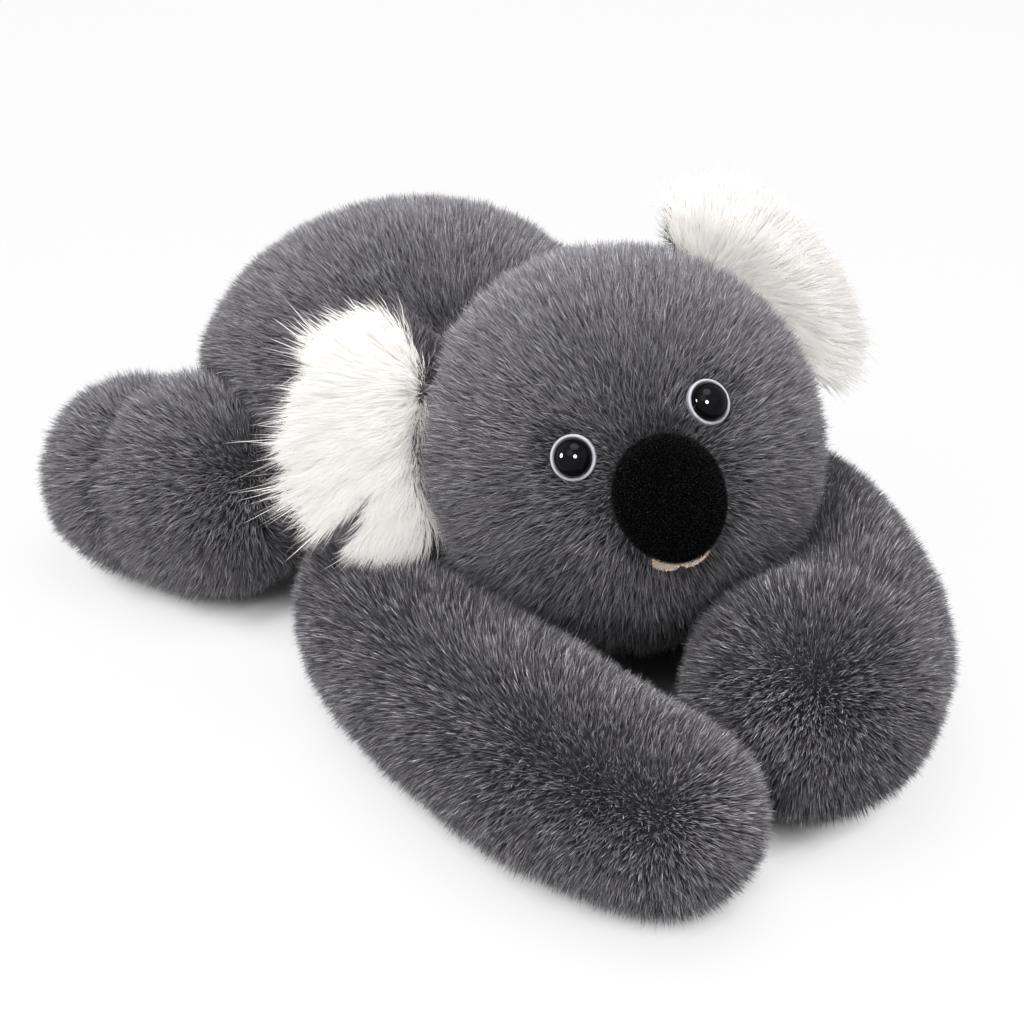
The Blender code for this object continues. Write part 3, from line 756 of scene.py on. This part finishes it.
class KoalaStage(bpy.types.PropertyGroup):
    camera_place: setting("Camera", "Where the camera stands", (-0.6426, -0.9744, 0.6853), "LENGTH")
    camera_aim: setting("Aim", "The way the camera looks", (0.50044, 0.70680, -0.5), "DIRECTION")
    lens: setting("Lens", "Focal length in millimetres", 105.47)
    key_power: setting("Key", "Power of the key lamp", 6.8, "POWER")
    fill_power: setting("Fill", "Power of the fill lamp", 0.6, "POWER")
    top_power: setting("Top", "Power of the top lamp", 16.5, "POWER")
    ambient: setting("Ambient", "Strength of the even light", 0.36)
    glow: setting("Glow", "How much of the open floor's colour is plain white", 0.86, "FACTOR")


def line_flow(stations, height):
    """A flow along a limb's middle line, blended from its nearest stretches."""
    spots = np.array([(x * MM, y * MM, height) for x, y in stations])
    steps = np.diff(spots, axis=0)
    middles = (spots[1:] + spots[:-1]) / 2

    def flow(points, normals):
        gaps = np.linalg.norm(points[:, None] - middles[None], axis=2)
        weights = np.exp(-((gaps / ARM_STRETCH_REACH) ** 2)) + 1e-9
        return unit(weights @ steps)

    return flow


class KOALA_OT_torso(bpy.types.Operator):
    """Make the torso's skin and its coat, which flows to the rump and down its sides"""

    bl_idname = "koala.torso"
    bl_label = "Torso"

    def execute(self, context):
        piece = make_grey_skin("torso_skin", "torso", ("back_panel", "belly_panel", "torso_filling"))
        skin = Skin(piece, context.scene.koala_fur.pile * 2, "torso")

        def flow(points, normals):
            way = np.full_like(points, 1.0)
            way[:, 0] = points[:, 0] * 4
            way[:, 2] = -0.7
            return way

        grow_pile("torso_fur", skin, "torso", 11, flow)
        return {"FINISHED"}


class KOALA_OT_head(bpy.types.Operator):
    """Make the head's skin and its coat, which flows away from the nose"""

    bl_idname = "koala.head"
    bl_label = "Head"

    def execute(self, context):
        fur = context.scene.koala_fur
        face = context.scene.koala_face
        piece = make_grey_skin("head_skin", "head", ("face_panel", "head_back_panel", "head_filling"))
        skin = Skin(piece, fur.pile * 2, "head", "ear_left", "ear_right")
        nose, lip = (np.array(centre_of(node)) for node in ("nose_cover", "mouth_patch"))
        eyes = [np.array(centre_of("eye_dome_" + side)) for side in ("left", "right")]
        nose_radius = face.nose_size[0] / 2
        # Each feature's centre, how short the fur is at its edge, that edge, its ramp and its bare radius
        features = [(eye, 0.35, face.ring_radius, 9 * MM, face.ring_radius - 0.5 * MM) for eye in eyes]
        features.append((nose, 0.45, nose_radius, 9 * MM, nose_radius - 3 * MM))
        features.append((lip, 0.3, 5 * MM, 8 * MM, 0.0))

        def flow(points, normals):
            return points - nose

        def trim(points, normals):
            length = np.ones(len(points))
            for centre, least, edge, ramp, bare in features:
                gap = np.linalg.norm(points - centre, axis=1)
                length *= least + (1 - least) * smooth_share(gap, edge, edge + ramp)
                length[gap < bare] = 0.0
            return length

        grow_pile("head_fur", skin, "head", 21, flow, trim, fur.face_tilt)
        return {"FINISHED"}


class KOALA_OT_arms(bpy.types.Operator):
    """Make both arms' skins and coats, which flow to the paws"""

    bl_idname = "koala.arms"
    bl_label = "Arms"

    def execute(self, context):
        fur = context.scene.koala_fur
        for seed, side in ((31, "left"), (41, "right")):
            name = "arm_" + side
            piece = make_grey_skin(name + "_plush", name, (name + "_skin", name + "_filling"))
            skin = Skin(piece, fur.pile * 2, name)
            flow = line_flow(ARM_LINES[side], ARM_HEIGHT)
            # A lighter copy of the grey fur, which paints light on the arms
            look = grey_pile("grey_pile_arms_painted_light", fur.arm_painted_light)
            grow_pile(name + "_fur", skin, name, seed, flow, tilt=fur.arm_tilt, look=look)
        return {"FINISHED"}


class Round:
    """A thigh's or foot's form: the ball-ended roll about a stretch of its leg's middle line."""

    def __init__(self, side, stretch, radius):
        out = 1 if side == "left" else -1
        hip = np.array(JOINTS["hip_swing_" + side]["pos_m"])
        hip[2] = radius - 0.5 * MM
        self.along = np.array((out * math.sin(LEG_SPLAY), math.cos(LEG_SPLAY), 0.0))
        self.start = hip + self.along * stretch[0]
        self.length = stretch[1] - stretch[0]
        self.radius = radius

    def from_middle(self, points):
        """Each point's way from the roll's middle line."""
        share = np.clip((points - self.start) @ self.along, 0.0, self.length)
        return points - self.start - share[:, None] * self.along

    def above(self, points):
        """How far each point lies outside the roll."""
        return np.linalg.norm(self.from_middle(points), axis=1) - self.radius

    def sink(self, piece, level, depth):
        """Moves the piece's points that lie inside this level inwards by the depth."""
        points = read(piece.data.vertices, "co")
        sunk = 1 - smooth_share(self.above(points), level, level + 3 * MM)
        points -= unit(self.from_middle(points)) * (sunk * depth)[:, None]
        move_points(piece.data, points)


class KOALA_OT_legs(bpy.types.Operator):
    """Make both thighs' and feet's skins and their coats, which flow to the soles"""

    bl_idname = "koala.legs"
    bl_label = "Legs"

    def execute(self, context):
        fur = context.scene.koala_fur
        for seed, side in ((51, "left"), (61, "right")):
            body = "leg_" + side
            thigh = Round(side, THIGH_STRETCH, THIGH_RADIUS)
            foot = Round(side, FOOT_STRETCH, FOOT_RADIUS)
            leg_nodes = (f"leg_{side}_skin", f"leg_{side}_filling")
            foot_nodes = (f"foot_{side}_skin", f"foot_{side}_filling")

            def flow(points, normals):
                return np.tile(thigh.along + (0.0, 0.0, -0.6), (len(points), 1))

            def thigh_trim(points, normals):
                return foot.above(points) > -fur.inset - 6 * MM

            def foot_trim(points, normals):
                return thigh.above(points) > 1 * MM - fur.inset

            piece = make_grey_skin(f"thigh_{side}_plush", body, leg_nodes)
            skin = Skin(piece, fur.pile * 2, body)
            grow_pile(f"thigh_{side}_fur", skin, body, seed, flow, thigh_trim, fur.leg_tilt)

            piece = make_grey_skin(f"foot_{side}_plush", body, foot_nodes, beside=leg_nodes)
            thigh.sink(piece, 0.5 * MM - fur.inset, 6 * MM)
            skin = Skin(piece, fur.pile * 2, body)
            grow_pile(f"foot_{side}_fur", skin, body, seed + 1, flow, foot_trim, fur.leg_tilt)
        return {"FINISHED"}


class Lobe:
    """An ear's own directions, and the line along which its white fur meets the head's grey."""

    def __init__(self, side):
        self.side = side
        self.edge = EAR_EDGES[side]
        self.rim = EAR_RIMS[side]
        self.front = np.array(centre_of("ear_front_" + side) - centre_of("ear_back_" + side))
        self.front /= np.linalg.norm(self.front)
        hinge = JOINTS["ear_fold_" + side]
        self.rise = np.array(hinge["axis"], float)
        self.rise *= np.sign(self.rise[2])
        self.middle = np.array(centre_of("ear_padding_" + side))
        out = self.middle - np.array(hinge["pos_m"])
        self.out = out - self.rise * (out @ self.rise)
        self.out /= np.linalg.norm(self.out)
        # Where the fur spreads from: near the head, a little over the ear's middle
        self.source = self.middle - self.out * (0.6 * EAR_HALF_REACH)
        self.source += self.rise * (0.3 * EAR_HALF_HEIGHT)

    def shares(self, vectors):
        """A vector's parts along the ear's reach and height, as shares of its half sizes."""
        return vectors @ self.out / EAR_HALF_REACH, vectors @ self.rise / EAR_HALF_HEIGHT

    def past_edge(self, points):
        """How far a point lies past the white fur's edge, outwards from the head."""
        out, rise = self.shares(points - self.middle)
        return (out - np.interp(rise, EAR_EDGE_HEIGHTS, self.edge)) * EAR_HALF_REACH

    def in_fork(self, points):
        """Whether a point lies between the right ear's two lower locks."""
        out, rise = self.shares(points - self.middle)
        turn = np.arctan2(rise - FORK_PLACE[1], out - FORK_PLACE[0]) - FORK_WAY
        return (np.abs(turn) < FORK_HALF_ANGLE) & (self.side == "right")

    def tuck(self, piece):
        """Moves the skin back under the head's fur: the right ear's in its edge, the left's by the head."""
        points = read(piece.data.vertices, "co")
        if self.side == "right":
            back = smooth_share(-self.past_edge(points), -2 * MM, 9 * MM)
        else:
            gap = np.linalg.norm(points - np.array(HEAD_CENTRE), axis=1) - HEAD_RADIUS
            back = 1 - smooth_share(gap, 5 * MM, 15 * MM)
        ahead = smooth_share((points - self.middle) @ self.front, -6 * MM, 6 * MM)
        points -= self.front * (back * ahead * 13 * MM)[:, None]
        move_points(piece.data, points)


def grow_ear(body, skin, lobe, look, seed):
    """The white fur over an ear's front, short inside and combed past its rim in long wisps."""
    fur = bpy.context.scene.koala_fur
    random = np.random.default_rng(seed)
    points, normals, room = skin.scatter(fur.ear_density / MM**2, random)
    facing = smooth_share(normals @ lobe.front, -0.35, 0.0)
    inside = smooth_share(lobe.past_edge(points), -3 * MM, 1 * MM)
    kept = (random.random(len(points)) < facing * inside) & ~lobe.in_fork(points)
    points, normals, room = points[kept], normals[kept], room[kept]
    count = len(points)
    flat = along_skin(points - lobe.source, normals)
    # The distance along the strand's way to the ear's rim, an ellipse, and the angle where it is met
    u, v = lobe.shares(points - lobe.middle)
    du, dv = lobe.shares(flat)
    a, b, c = du**2 + dv**2, u * du + v * dv, u**2 + v**2 - 1
    to_rim = (-b + np.sqrt(np.maximum(b * b - a * c, 0.0))) / a
    near = 1 - smooth_share(to_rim, 6 * MM, 20 * MM)
    spot = np.arctan2(v + dv * to_rim, u + du * to_rim)
    overhang = fur.ear_overhang * np.interp(spot, RIM_ANGLES, lobe.rim) * random.uniform(0.3, 1.1, count)
    overhang *= 1 + fur.ear_wisp * (random.random(count) < 0.2) * random.random(count)
    overhang *= 1 + 0.5 * ripple(points, 12 * MM, seed + 5)
    length = fur.ear_length * (1 - near) + (to_rim + overhang) * near
    length *= random.normal(1.0, 0.12, count).clip(0.6, 1.3) * np.clip(room / fur.pile, 0.4, 1.0)
    length = np.maximum(length, 6 * MM)
    swirl = 0.2 * ripple(points, 20 * MM, seed + 2) + random.normal(0, 0.3, count)
    way = swirled(flat, normals, swirl)
    lean = fur.ear_tilt + 0.2 * near + random.normal(0, 0.14, count)
    line = bend_strands(points, normals, way, lean, length, LONG_STATIONS, 0.3)
    tuft(line, LONG_STATIONS, 2.5 * MM, 0.35, random)
    tuft(line, LONG_STATIONS, 8 * MM, 0.45, random)
    # What rises over the ear's top is laid back behind the head instead
    over = np.maximum(line[:, 1:, 2] - EAR_TOP, 0.0)
    line[:, 1:] += over[:, :, None] * np.array((0.9, 1.3, -1.0))
    line[:, 1:, 2] = np.maximum(line[:, 1:, 2], 1 * MM)
    width = fur.ear_strand_width * random.uniform(0.65, 1.35, count)
    add_coat(body + "_white", line, LONG_STATIONS, normals, width, 0.9, look, body, random)


class KOALA_OT_ears(bpy.types.Operator):
    """Make both ears: a padded lens with grey fur behind and long white fur in front"""

    bl_idname = "koala.ears"
    bl_label = "Ears"

    def execute(self, context):
        fur = context.scene.koala_fur
        white = fur.ear_white
        # The white fur is greyer at its roots and shafts, which in part paints the shade deep in the pile
        shade, middle = toned(white, 0.9), toned(white, 0.97)
        for seed, side in ((71, "left"), (81, "right")):
            body = "ear_" + side
            # The white fur's painted glow, an emission of its own colour that brightens it without a lamp
            glow = EAR_PAINTED_GLOWS[side] * fur.ear_painted_glow
            look = pile_look("white_pile_" + side, shade, middle, white, white, 0.25, 0.08, glow)
            nodes = tuple(part + side for part in ("ear_front_", "ear_back_", "ear_padding_"))
            lobe = Lobe(side)
            backing = ear_backing(lobe, middle, fur.middle)
            piece = make_skin(body + "_plush", body, nodes, backing, EAR_INSET, 2.5 * MM, 4)
            lobe.tuck(piece)
            skin = Skin(piece, fur.pile * 2, body, "head")
            grow_ear(body, skin, lobe, look, seed)

            def flow(points, normals):
                return points - lobe.source

            def grey_trim(points, normals):
                return (normals @ lobe.front < -0.3) | (lobe.past_edge(points) < 0) | lobe.in_fork(points)

            grow_pile(body + "_grey", skin, body, seed + 1, flow, grey_trim, fur.face_tilt)
        return {"FINISHED"}


def face_axes():
    """Unit vectors to the koala's left and out of its nose."""
    left, right = (centre_of("eye_dome_" + side) for side in ("left", "right"))
    out = (centre_of("nose_cover") - HEAD_CENTRE).normalized()
    across = (left - right).normalized()
    return (across - out * across.dot(out)).normalized(), out


def frame_on_head(outwards, height=0.0):
    """A matrix at this height over the head, with +Z outwards from it and +X level with the face."""
    across, _ = face_axes()
    outwards = outwards.normalized()
    side = (across - outwards * across.dot(outwards)).normalized()
    axes = Matrix((side, outwards.cross(side), outwards)).transposed()
    return Matrix.Translation(HEAD_CENTRE + outwards * (HEAD_RADIUS + height)) @ axes.to_4x4()


def dress(piece, name, look, slot, *nodes):
    """Finishes a piece of the face and puts it in the place of these nodes."""
    settle(piece)
    piece.name = piece.data.name = name
    piece.data.materials.clear()
    piece.data.materials.append(look)
    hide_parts(*nodes)
    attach(piece, "head")


def grow_nap(name, piece, look, density, longest):
    """A short nap, which frays the piece's outline and catches a little light."""
    skin = Skin(piece, 2 * MM, "head", "arm_left", "arm_right")
    skin.sort_faces()
    random = np.random.default_rng(91)
    points, normals, _ = skin.scatter(density / MM**2, random)
    count = len(points)
    flat = along_skin(random.normal(size=(count, 3)), normals)
    length = random.uniform(0.4, 1.0, count) * longest
    lean = np.abs(random.normal(0.5, 0.3, count))
    line = bend_strands(points, normals, flat, lean, length, SHORT_STATIONS, 0.5)
    width = random.uniform(0.10, 0.2, count) * MM
    add_coat(name, line, SHORT_STATIONS, normals, width, 0.3, look, "head", random)


class KOALA_OT_nose(bpy.types.Operator):
    """Make the velvet nose and the felt lip under it, each with its nap"""

    bl_idname = "koala.nose"
    bl_label = "Nose and mouth"

    def execute(self, context):
        face = context.scene.koala_face
        across, out = face_axes()
        self.make_nose(face, out)
        lip_out = Matrix.Rotation(LIP_DROP, 3, across) @ out - across * LIP_SHIFT
        self.make_lip(face, lip_out)
        return {"FINISHED"}

    def make_nose(self, face, out):
        """An egg that is a little narrower at its foot."""
        width, height, depth = face.nose_size
        nose = make_ball(48)
        for vert in nose.data.vertices:
            narrowing = 1.0 - 0.10 * (1.0 - vert.co.y) / 2
            vert.co.x *= narrowing * width / 2
            vert.co.y *= height / 2
            vert.co.z *= depth / 2
        nose.matrix_world = frame_on_head(out, -1.0 * MM)
        shape_with(nose, "SUBSURF", levels=1, render_levels=1)
        colour = face.nose_colour
        velvet = velvet_look("nose_velvet", colour, toned(colour, 3))
        dress(nose, "nose_pad", velvet, "nose_velvet", "nose_cover", "nose_filling")
        tones = [toned(colour, share) for share in (1, 3, 14, 90)]
        nap = pile_look("nose_nap", *tones, 0, 0.9)
        grow_nap("nose_nap", nose, nap, 4.5, 1.2 * MM)

    def make_lip(self, face, out):
        """A flat pad that is pinched to a notch a little to the right of its middle."""
        width, height, depth = face.mouth_size
        lip = make_ball(40)
        for vert in lip.data.vertices:
            notch = math.exp(-(((vert.co.x + 0.2) / 0.13) ** 2))
            pinch = (1 + 0.3 * vert.co.x) * (1.0 - 0.95 * notch)
            vert.co = (vert.co.x * width / 2, vert.co.y * height / 2 * pinch, vert.co.z * depth / 2)
        lip.matrix_world = frame_on_head(out)
        colour = face.lip_colour
        felt = felt_look("lip_felt", colour, toned(colour, 0.8))
        dress(lip, "mouth_felt", felt, "lip_felt", "mouth_patch")
        # The lip's nap is darker at its roots, which in part paints the shade deep in the nap
        tones = (toned(colour, 0.55), toned(colour, 0.85), colour, (1.0, 0.9, 0.8))
        # Painted glow: the lip's nap gives off light of its own, to lift it out of the shade under the nose
        nap = pile_look("lip_nap", *tones, 0, 0.3, 0.45)
        grow_nap("lip_nap", lip, nap, 5.0, 1.3 * MM)


class KOALA_OT_eyes(bpy.types.Operator):
    """Make the eyes: a white ring with a glossy black dome standing in it"""

    bl_idname = "koala.eyes"
    bl_label = "Eyes"

    def execute(self, context):
        face = context.scene.koala_face
        ink = (0.0004, 0.0004, 0.0005)
        white = plastic_look("eye_white", (0.72, 0.72, 0.77), (0.62, 0.62, 0.68), 0.25, 0.2, 0.5)
        black = plastic_look("eye_black", ink, (0.0008, 0.0008, 0.001), 0.03, 0.0, 0.07)
        grey = plastic_look("eye_washer", (0.6, 0.6, 0.58), (0.52, 0.52, 0.5), 0.45, 0.0, 0.5)
        beads = bpy.data.collections.new("eye_beads")
        for side in ("left", "right"):
            seat = frame_on_head(centre_of("eye_dome_" + side) - HEAD_CENTRE, -0.4 * MM)
            ring = self.make_ring(face)
            ring.matrix_world = seat
            dress(ring, "eye_rim_" + side, white, "eye_white", "eye_ring_" + side)
            dome = self.make_dome(face)
            dome.matrix_world = seat
            dress(dome, "eye_bead_" + side, black, "eye_black", "eye_dome_" + side)
            beads.objects.link(dome)
            washer = frame["nodes"]["eye_washer_" + side]
            washer.data.materials.clear()
            washer.data.materials.append(grey)
        middle = centre_of("eye_dome_left", "eye_dome_right")
        for name, way, size in GLINTS:
            lamp = softbox(name, middle + Vector(way), middle, size, face.glint_power)
            lamp.light_linking.receiver_collection = beads
        return {"FINISHED"}

    def make_ring(self, face):
        """A disc with a round rim and a seat for the dome."""
        deselect()
        bpy.ops.mesh.primitive_cylinder_add(vertices=64, radius=face.ring_radius, depth=2.6 * MM)
        ring = bpy.context.object
        ring.location.z = -1.3 * MM
        settle(ring)
        with editing(ring, "DESELECT"):
            bpy.ops.mesh.select_mode(type="FACE")
        for polygon in ring.data.polygons:
            polygon.select = polygon.normal.z > 0.9
        with editing(ring, None):
            bpy.ops.mesh.inset(thickness=face.ring_radius - face.dome_radius - 0.3 * MM, depth=0.0)
            bpy.ops.mesh.inset(thickness=0.1 * MM, depth=-1.0 * MM)
        limit = math.radians(50)
        shape_with(ring, "BEVEL", width=0.7 * MM, segments=4, limit_method="ANGLE", angle_limit=limit)
        return ring

    def make_dome(self, face):
        """A ball whose upper half is as high as the dome and whose lower half is nearly flat."""
        dome = make_ball(64)
        base = -0.7 * MM
        radius = face.dome_radius
        for vert in dome.data.vertices:
            rise = face.dome_height - base if vert.co.z > 0 else 0.15 * MM
            vert.co = (vert.co.x * radius, vert.co.y * radius, base + vert.co.z * rise)
        return dome


def softbox(name, place, target, size, power):
    lamp = bpy.data.lights.new(name, "AREA")
    lamp.shape = "DISK"
    lamp.size = size
    lamp.energy = power
    holder = bpy.data.objects.new(name, lamp)
    bpy.context.collection.objects.link(holder)
    holder.location = place
    holder.rotation_mode = "QUATERNION"
    holder.rotation_quaternion = (target - place).to_track_quat("-Z", "Y")
    return holder


def painted_floor_shade(mesh):
    """A share for each floor point, 0 where it is hemmed in by the koala and 1 where it is open, which
    paints the koala's shade into the floor's glow.
    """
    solids = solids_tree()
    ways = [Vector((0.0, 0.0, 1.0))]
    for steep, count in SKY_RINGS:
        flat = math.sqrt(1 - steep**2)
        turns = np.arange(count) * math.tau / count
        ways += [Vector((flat * math.cos(turn), flat * math.sin(turn), steep)) for turn in turns]
    shares = np.ones(len(mesh.vertices))
    for i, vert in enumerate(mesh.vertices):
        gap = solids.find_nearest(vert.co, 12 * MM)[3]
        near = 1.0 if gap is None else smooth_share(gap, 0.0, 6 * MM)
        clear = 1.0
        if abs(vert.co.x) < SHADED_REACH[0] and abs(vert.co.y - FLOOR_MIDDLE[1]) < SHADED_REACH[1]:
            clear = sum(solids.ray_cast(vert.co, way, 0.4)[0] is None for way in ways) / len(ways)
        shares[i] = near * smooth_share(clear, 0.12, 0.45)
    ends = read(mesh.edges, "vertices", 2, np.int32)
    counts = np.bincount(ends.ravel(), minlength=len(shares))
    for _ in range(2):
        total = np.bincount(ends[:, 0], shares[ends[:, 1]], len(shares))
        total += np.bincount(ends[:, 1], shares[ends[:, 0]], len(shares))
        shares = (shares + total / counts) / 2
    return shares


class KOALA_OT_stage(bpy.types.Operator):
    """Set the floor, the lamps, the even light and the camera"""

    bl_idname = "koala.stage"
    bl_label = "Studio"

    def execute(self, context):
        scene = context.scene
        stage = scene.koala_stage
        aim = Vector(stage.camera_aim).normalized()
        self.add_camera(scene, stage, aim)
        self.add_lamps(stage, aim)
        self.add_even_light(scene, stage)
        self.add_floor(stage)
        scene.view_settings.view_transform = "Standard"
        return {"FINISHED"}

    def add_camera(self, scene, stage, aim):
        camera = bpy.data.objects.new("camera", bpy.data.cameras.new("camera"))
        scene.collection.objects.link(camera)
        camera.location = stage.camera_place
        camera.rotation_mode = "QUATERNION"
        camera.rotation_quaternion = aim.to_track_quat("-Z", "Y")
        camera.data.lens = stage.lens
        camera.data.sensor_width = 36.0
        scene.camera = camera

    def add_lamps(self, stage, aim):
        """The key and the top lamp, and a fill on the camera's right."""
        right = aim.cross(Vector((0, 0, 1))).normalized()
        fill_place = -aim * 0.9 + right * 0.8 + right.cross(aim) * 0.3
        for name, place, size, power in (
            ("key_lamp", KEY_PLACE, 1.0, stage.key_power),
            ("fill_lamp", fill_place, 0.8, stage.fill_power),
            ("top_lamp", TOP_PLACE, 1.0, stage.top_power),
        ):
            softbox(name, LAMP_TARGET + place, LAMP_TARGET, size, power)

    def add_even_light(self, scene, stage):
        """Light from all round, behind which the background shows as white."""
        world = scene.world or bpy.data.worlds.new("studio")
        scene.world = world
        world.use_nodes = True
        web = Web(world.node_tree)
        web.tree.nodes.clear()
        even, seen = (
            web.node("Background", 0, {"Color": WHITE, "Strength": strength})
            for strength in (stage.ambient, 1.0)
        )
        mixed = web.node("MixShader", 0, {0: web.shown(), 1: even, 2: seen})
        web.feed(web.tree.nodes.new("ShaderNodeOutputWorld").inputs["Surface"], mixed)

    def add_floor(self, stage):
        """A white floor, which shows as plain white where the koala leaves it open, and whose glow fades
        where the koala hems it in, a painted shade there.
        """
        deselect()
        bpy.ops.mesh.primitive_grid_add(x_subdivisions=130, y_subdivisions=150, size=1.0)
        floor = bpy.context.object
        floor.name = "floor"
        floor.scale = FLOOR_SIZE
        floor.location = FLOOR_MIDDLE
        bpy.ops.object.transform_apply(location=True, rotation=True, scale=True)
        with editing(floor):
            bpy.ops.mesh.region_to_loop()
            bpy.ops.mesh.extrude_edges_move()
            bpy.ops.transform.resize(value=FLOOR_STRETCH, center_override=FLOOR_MIDDLE)
        shares = painted_floor_shade(floor.data)
        # The far rim shows as white in full, so that no horizon is seen
        far = [max(abs(vert.co.x), abs(vert.co.y)) > 1 for vert in floor.data.vertices]
        shares[far] = 1 / stage.glow
        openness = floor.data.attributes.new("openness", "FLOAT", "POINT")
        openness.data.foreach_set("value", shares.astype(np.float32))
        look = Look("floor_white")
        paper = look.mix(look.noise(4.0), (0.89,) * 3, (0.91,) * 3)
        floor.data.materials.append(look.finish(Base_Color=paper, Roughness=0.9, Specular_IOR_Level=0.0))
        shown = look.shown() * stage.glow
        # Painted shade: the white glow is taken off where the koala hems the floor in, on top of the lamps'
        # own shadow
        shown = shown * look.node("Attribute", "Fac", {}, attribute_name="openness")
        white = look.node("Emission", 0, {"Color": WHITE, "Strength": 1.0})
        lit = Field(look, look.shader.outputs[0])
        mixed = look.node("MixShader", 0, {0: shown, 1: lit, 2: white})
        look.feed(look.tree.nodes["Material Output"].inputs["Surface"], mixed)


OPERATORS = (
    KOALA_OT_torso,
    KOALA_OT_head,
    KOALA_OT_arms,
    KOALA_OT_legs,
    KOALA_OT_ears,
    KOALA_OT_nose,
    KOALA_OT_eyes,
    KOALA_OT_stage,
)


class KOALA_PT_panel(bpy.types.Panel):
    """Lists the koala's pieces and their settings"""

    bl_idname = "KOALA_PT_panel"
    bl_label = "Koala"
    bl_space_type = "VIEW_3D"
    bl_region_type = "UI"
    bl_category = "Koala"

    def draw(self, context):
        layout = self.layout
        for operator in OPERATORS:
            layout.operator(operator.bl_idname)
        for group in (context.scene.koala_fur, context.scene.koala_face, context.scene.koala_stage):
            box = layout.box()
            for key in type(group).__annotations__:
                box.prop(group, key)


CLASSES = (KoalaFur, KoalaFace, KoalaStage, *OPERATORS, KOALA_PT_panel)


def register():
    for made in CLASSES:
        bpy.utils.register_class(made)
    bpy.types.Scene.koala_fur = bpy.props.PointerProperty(type=KoalaFur)
    bpy.types.Scene.koala_face = bpy.props.PointerProperty(type=KoalaFace)
    bpy.types.Scene.koala_stage = bpy.props.PointerProperty(type=KoalaStage)


def unregister():
    for key in ("koala_stage", "koala_face", "koala_fur"):
        delattr(bpy.types.Scene, key)
    for made in reversed(CLASSES):
        bpy.utils.unregister_class(made)


def main():
    register()
    bpy.ops.koala.stage()
    bpy.ops.koala.torso()
    bpy.ops.koala.head()
    bpy.ops.koala.arms()
    bpy.ops.koala.legs()
    bpy.ops.koala.ears()
    bpy.ops.koala.nose()
    bpy.ops.koala.eyes()


if __name__ == "__main__":
    main()
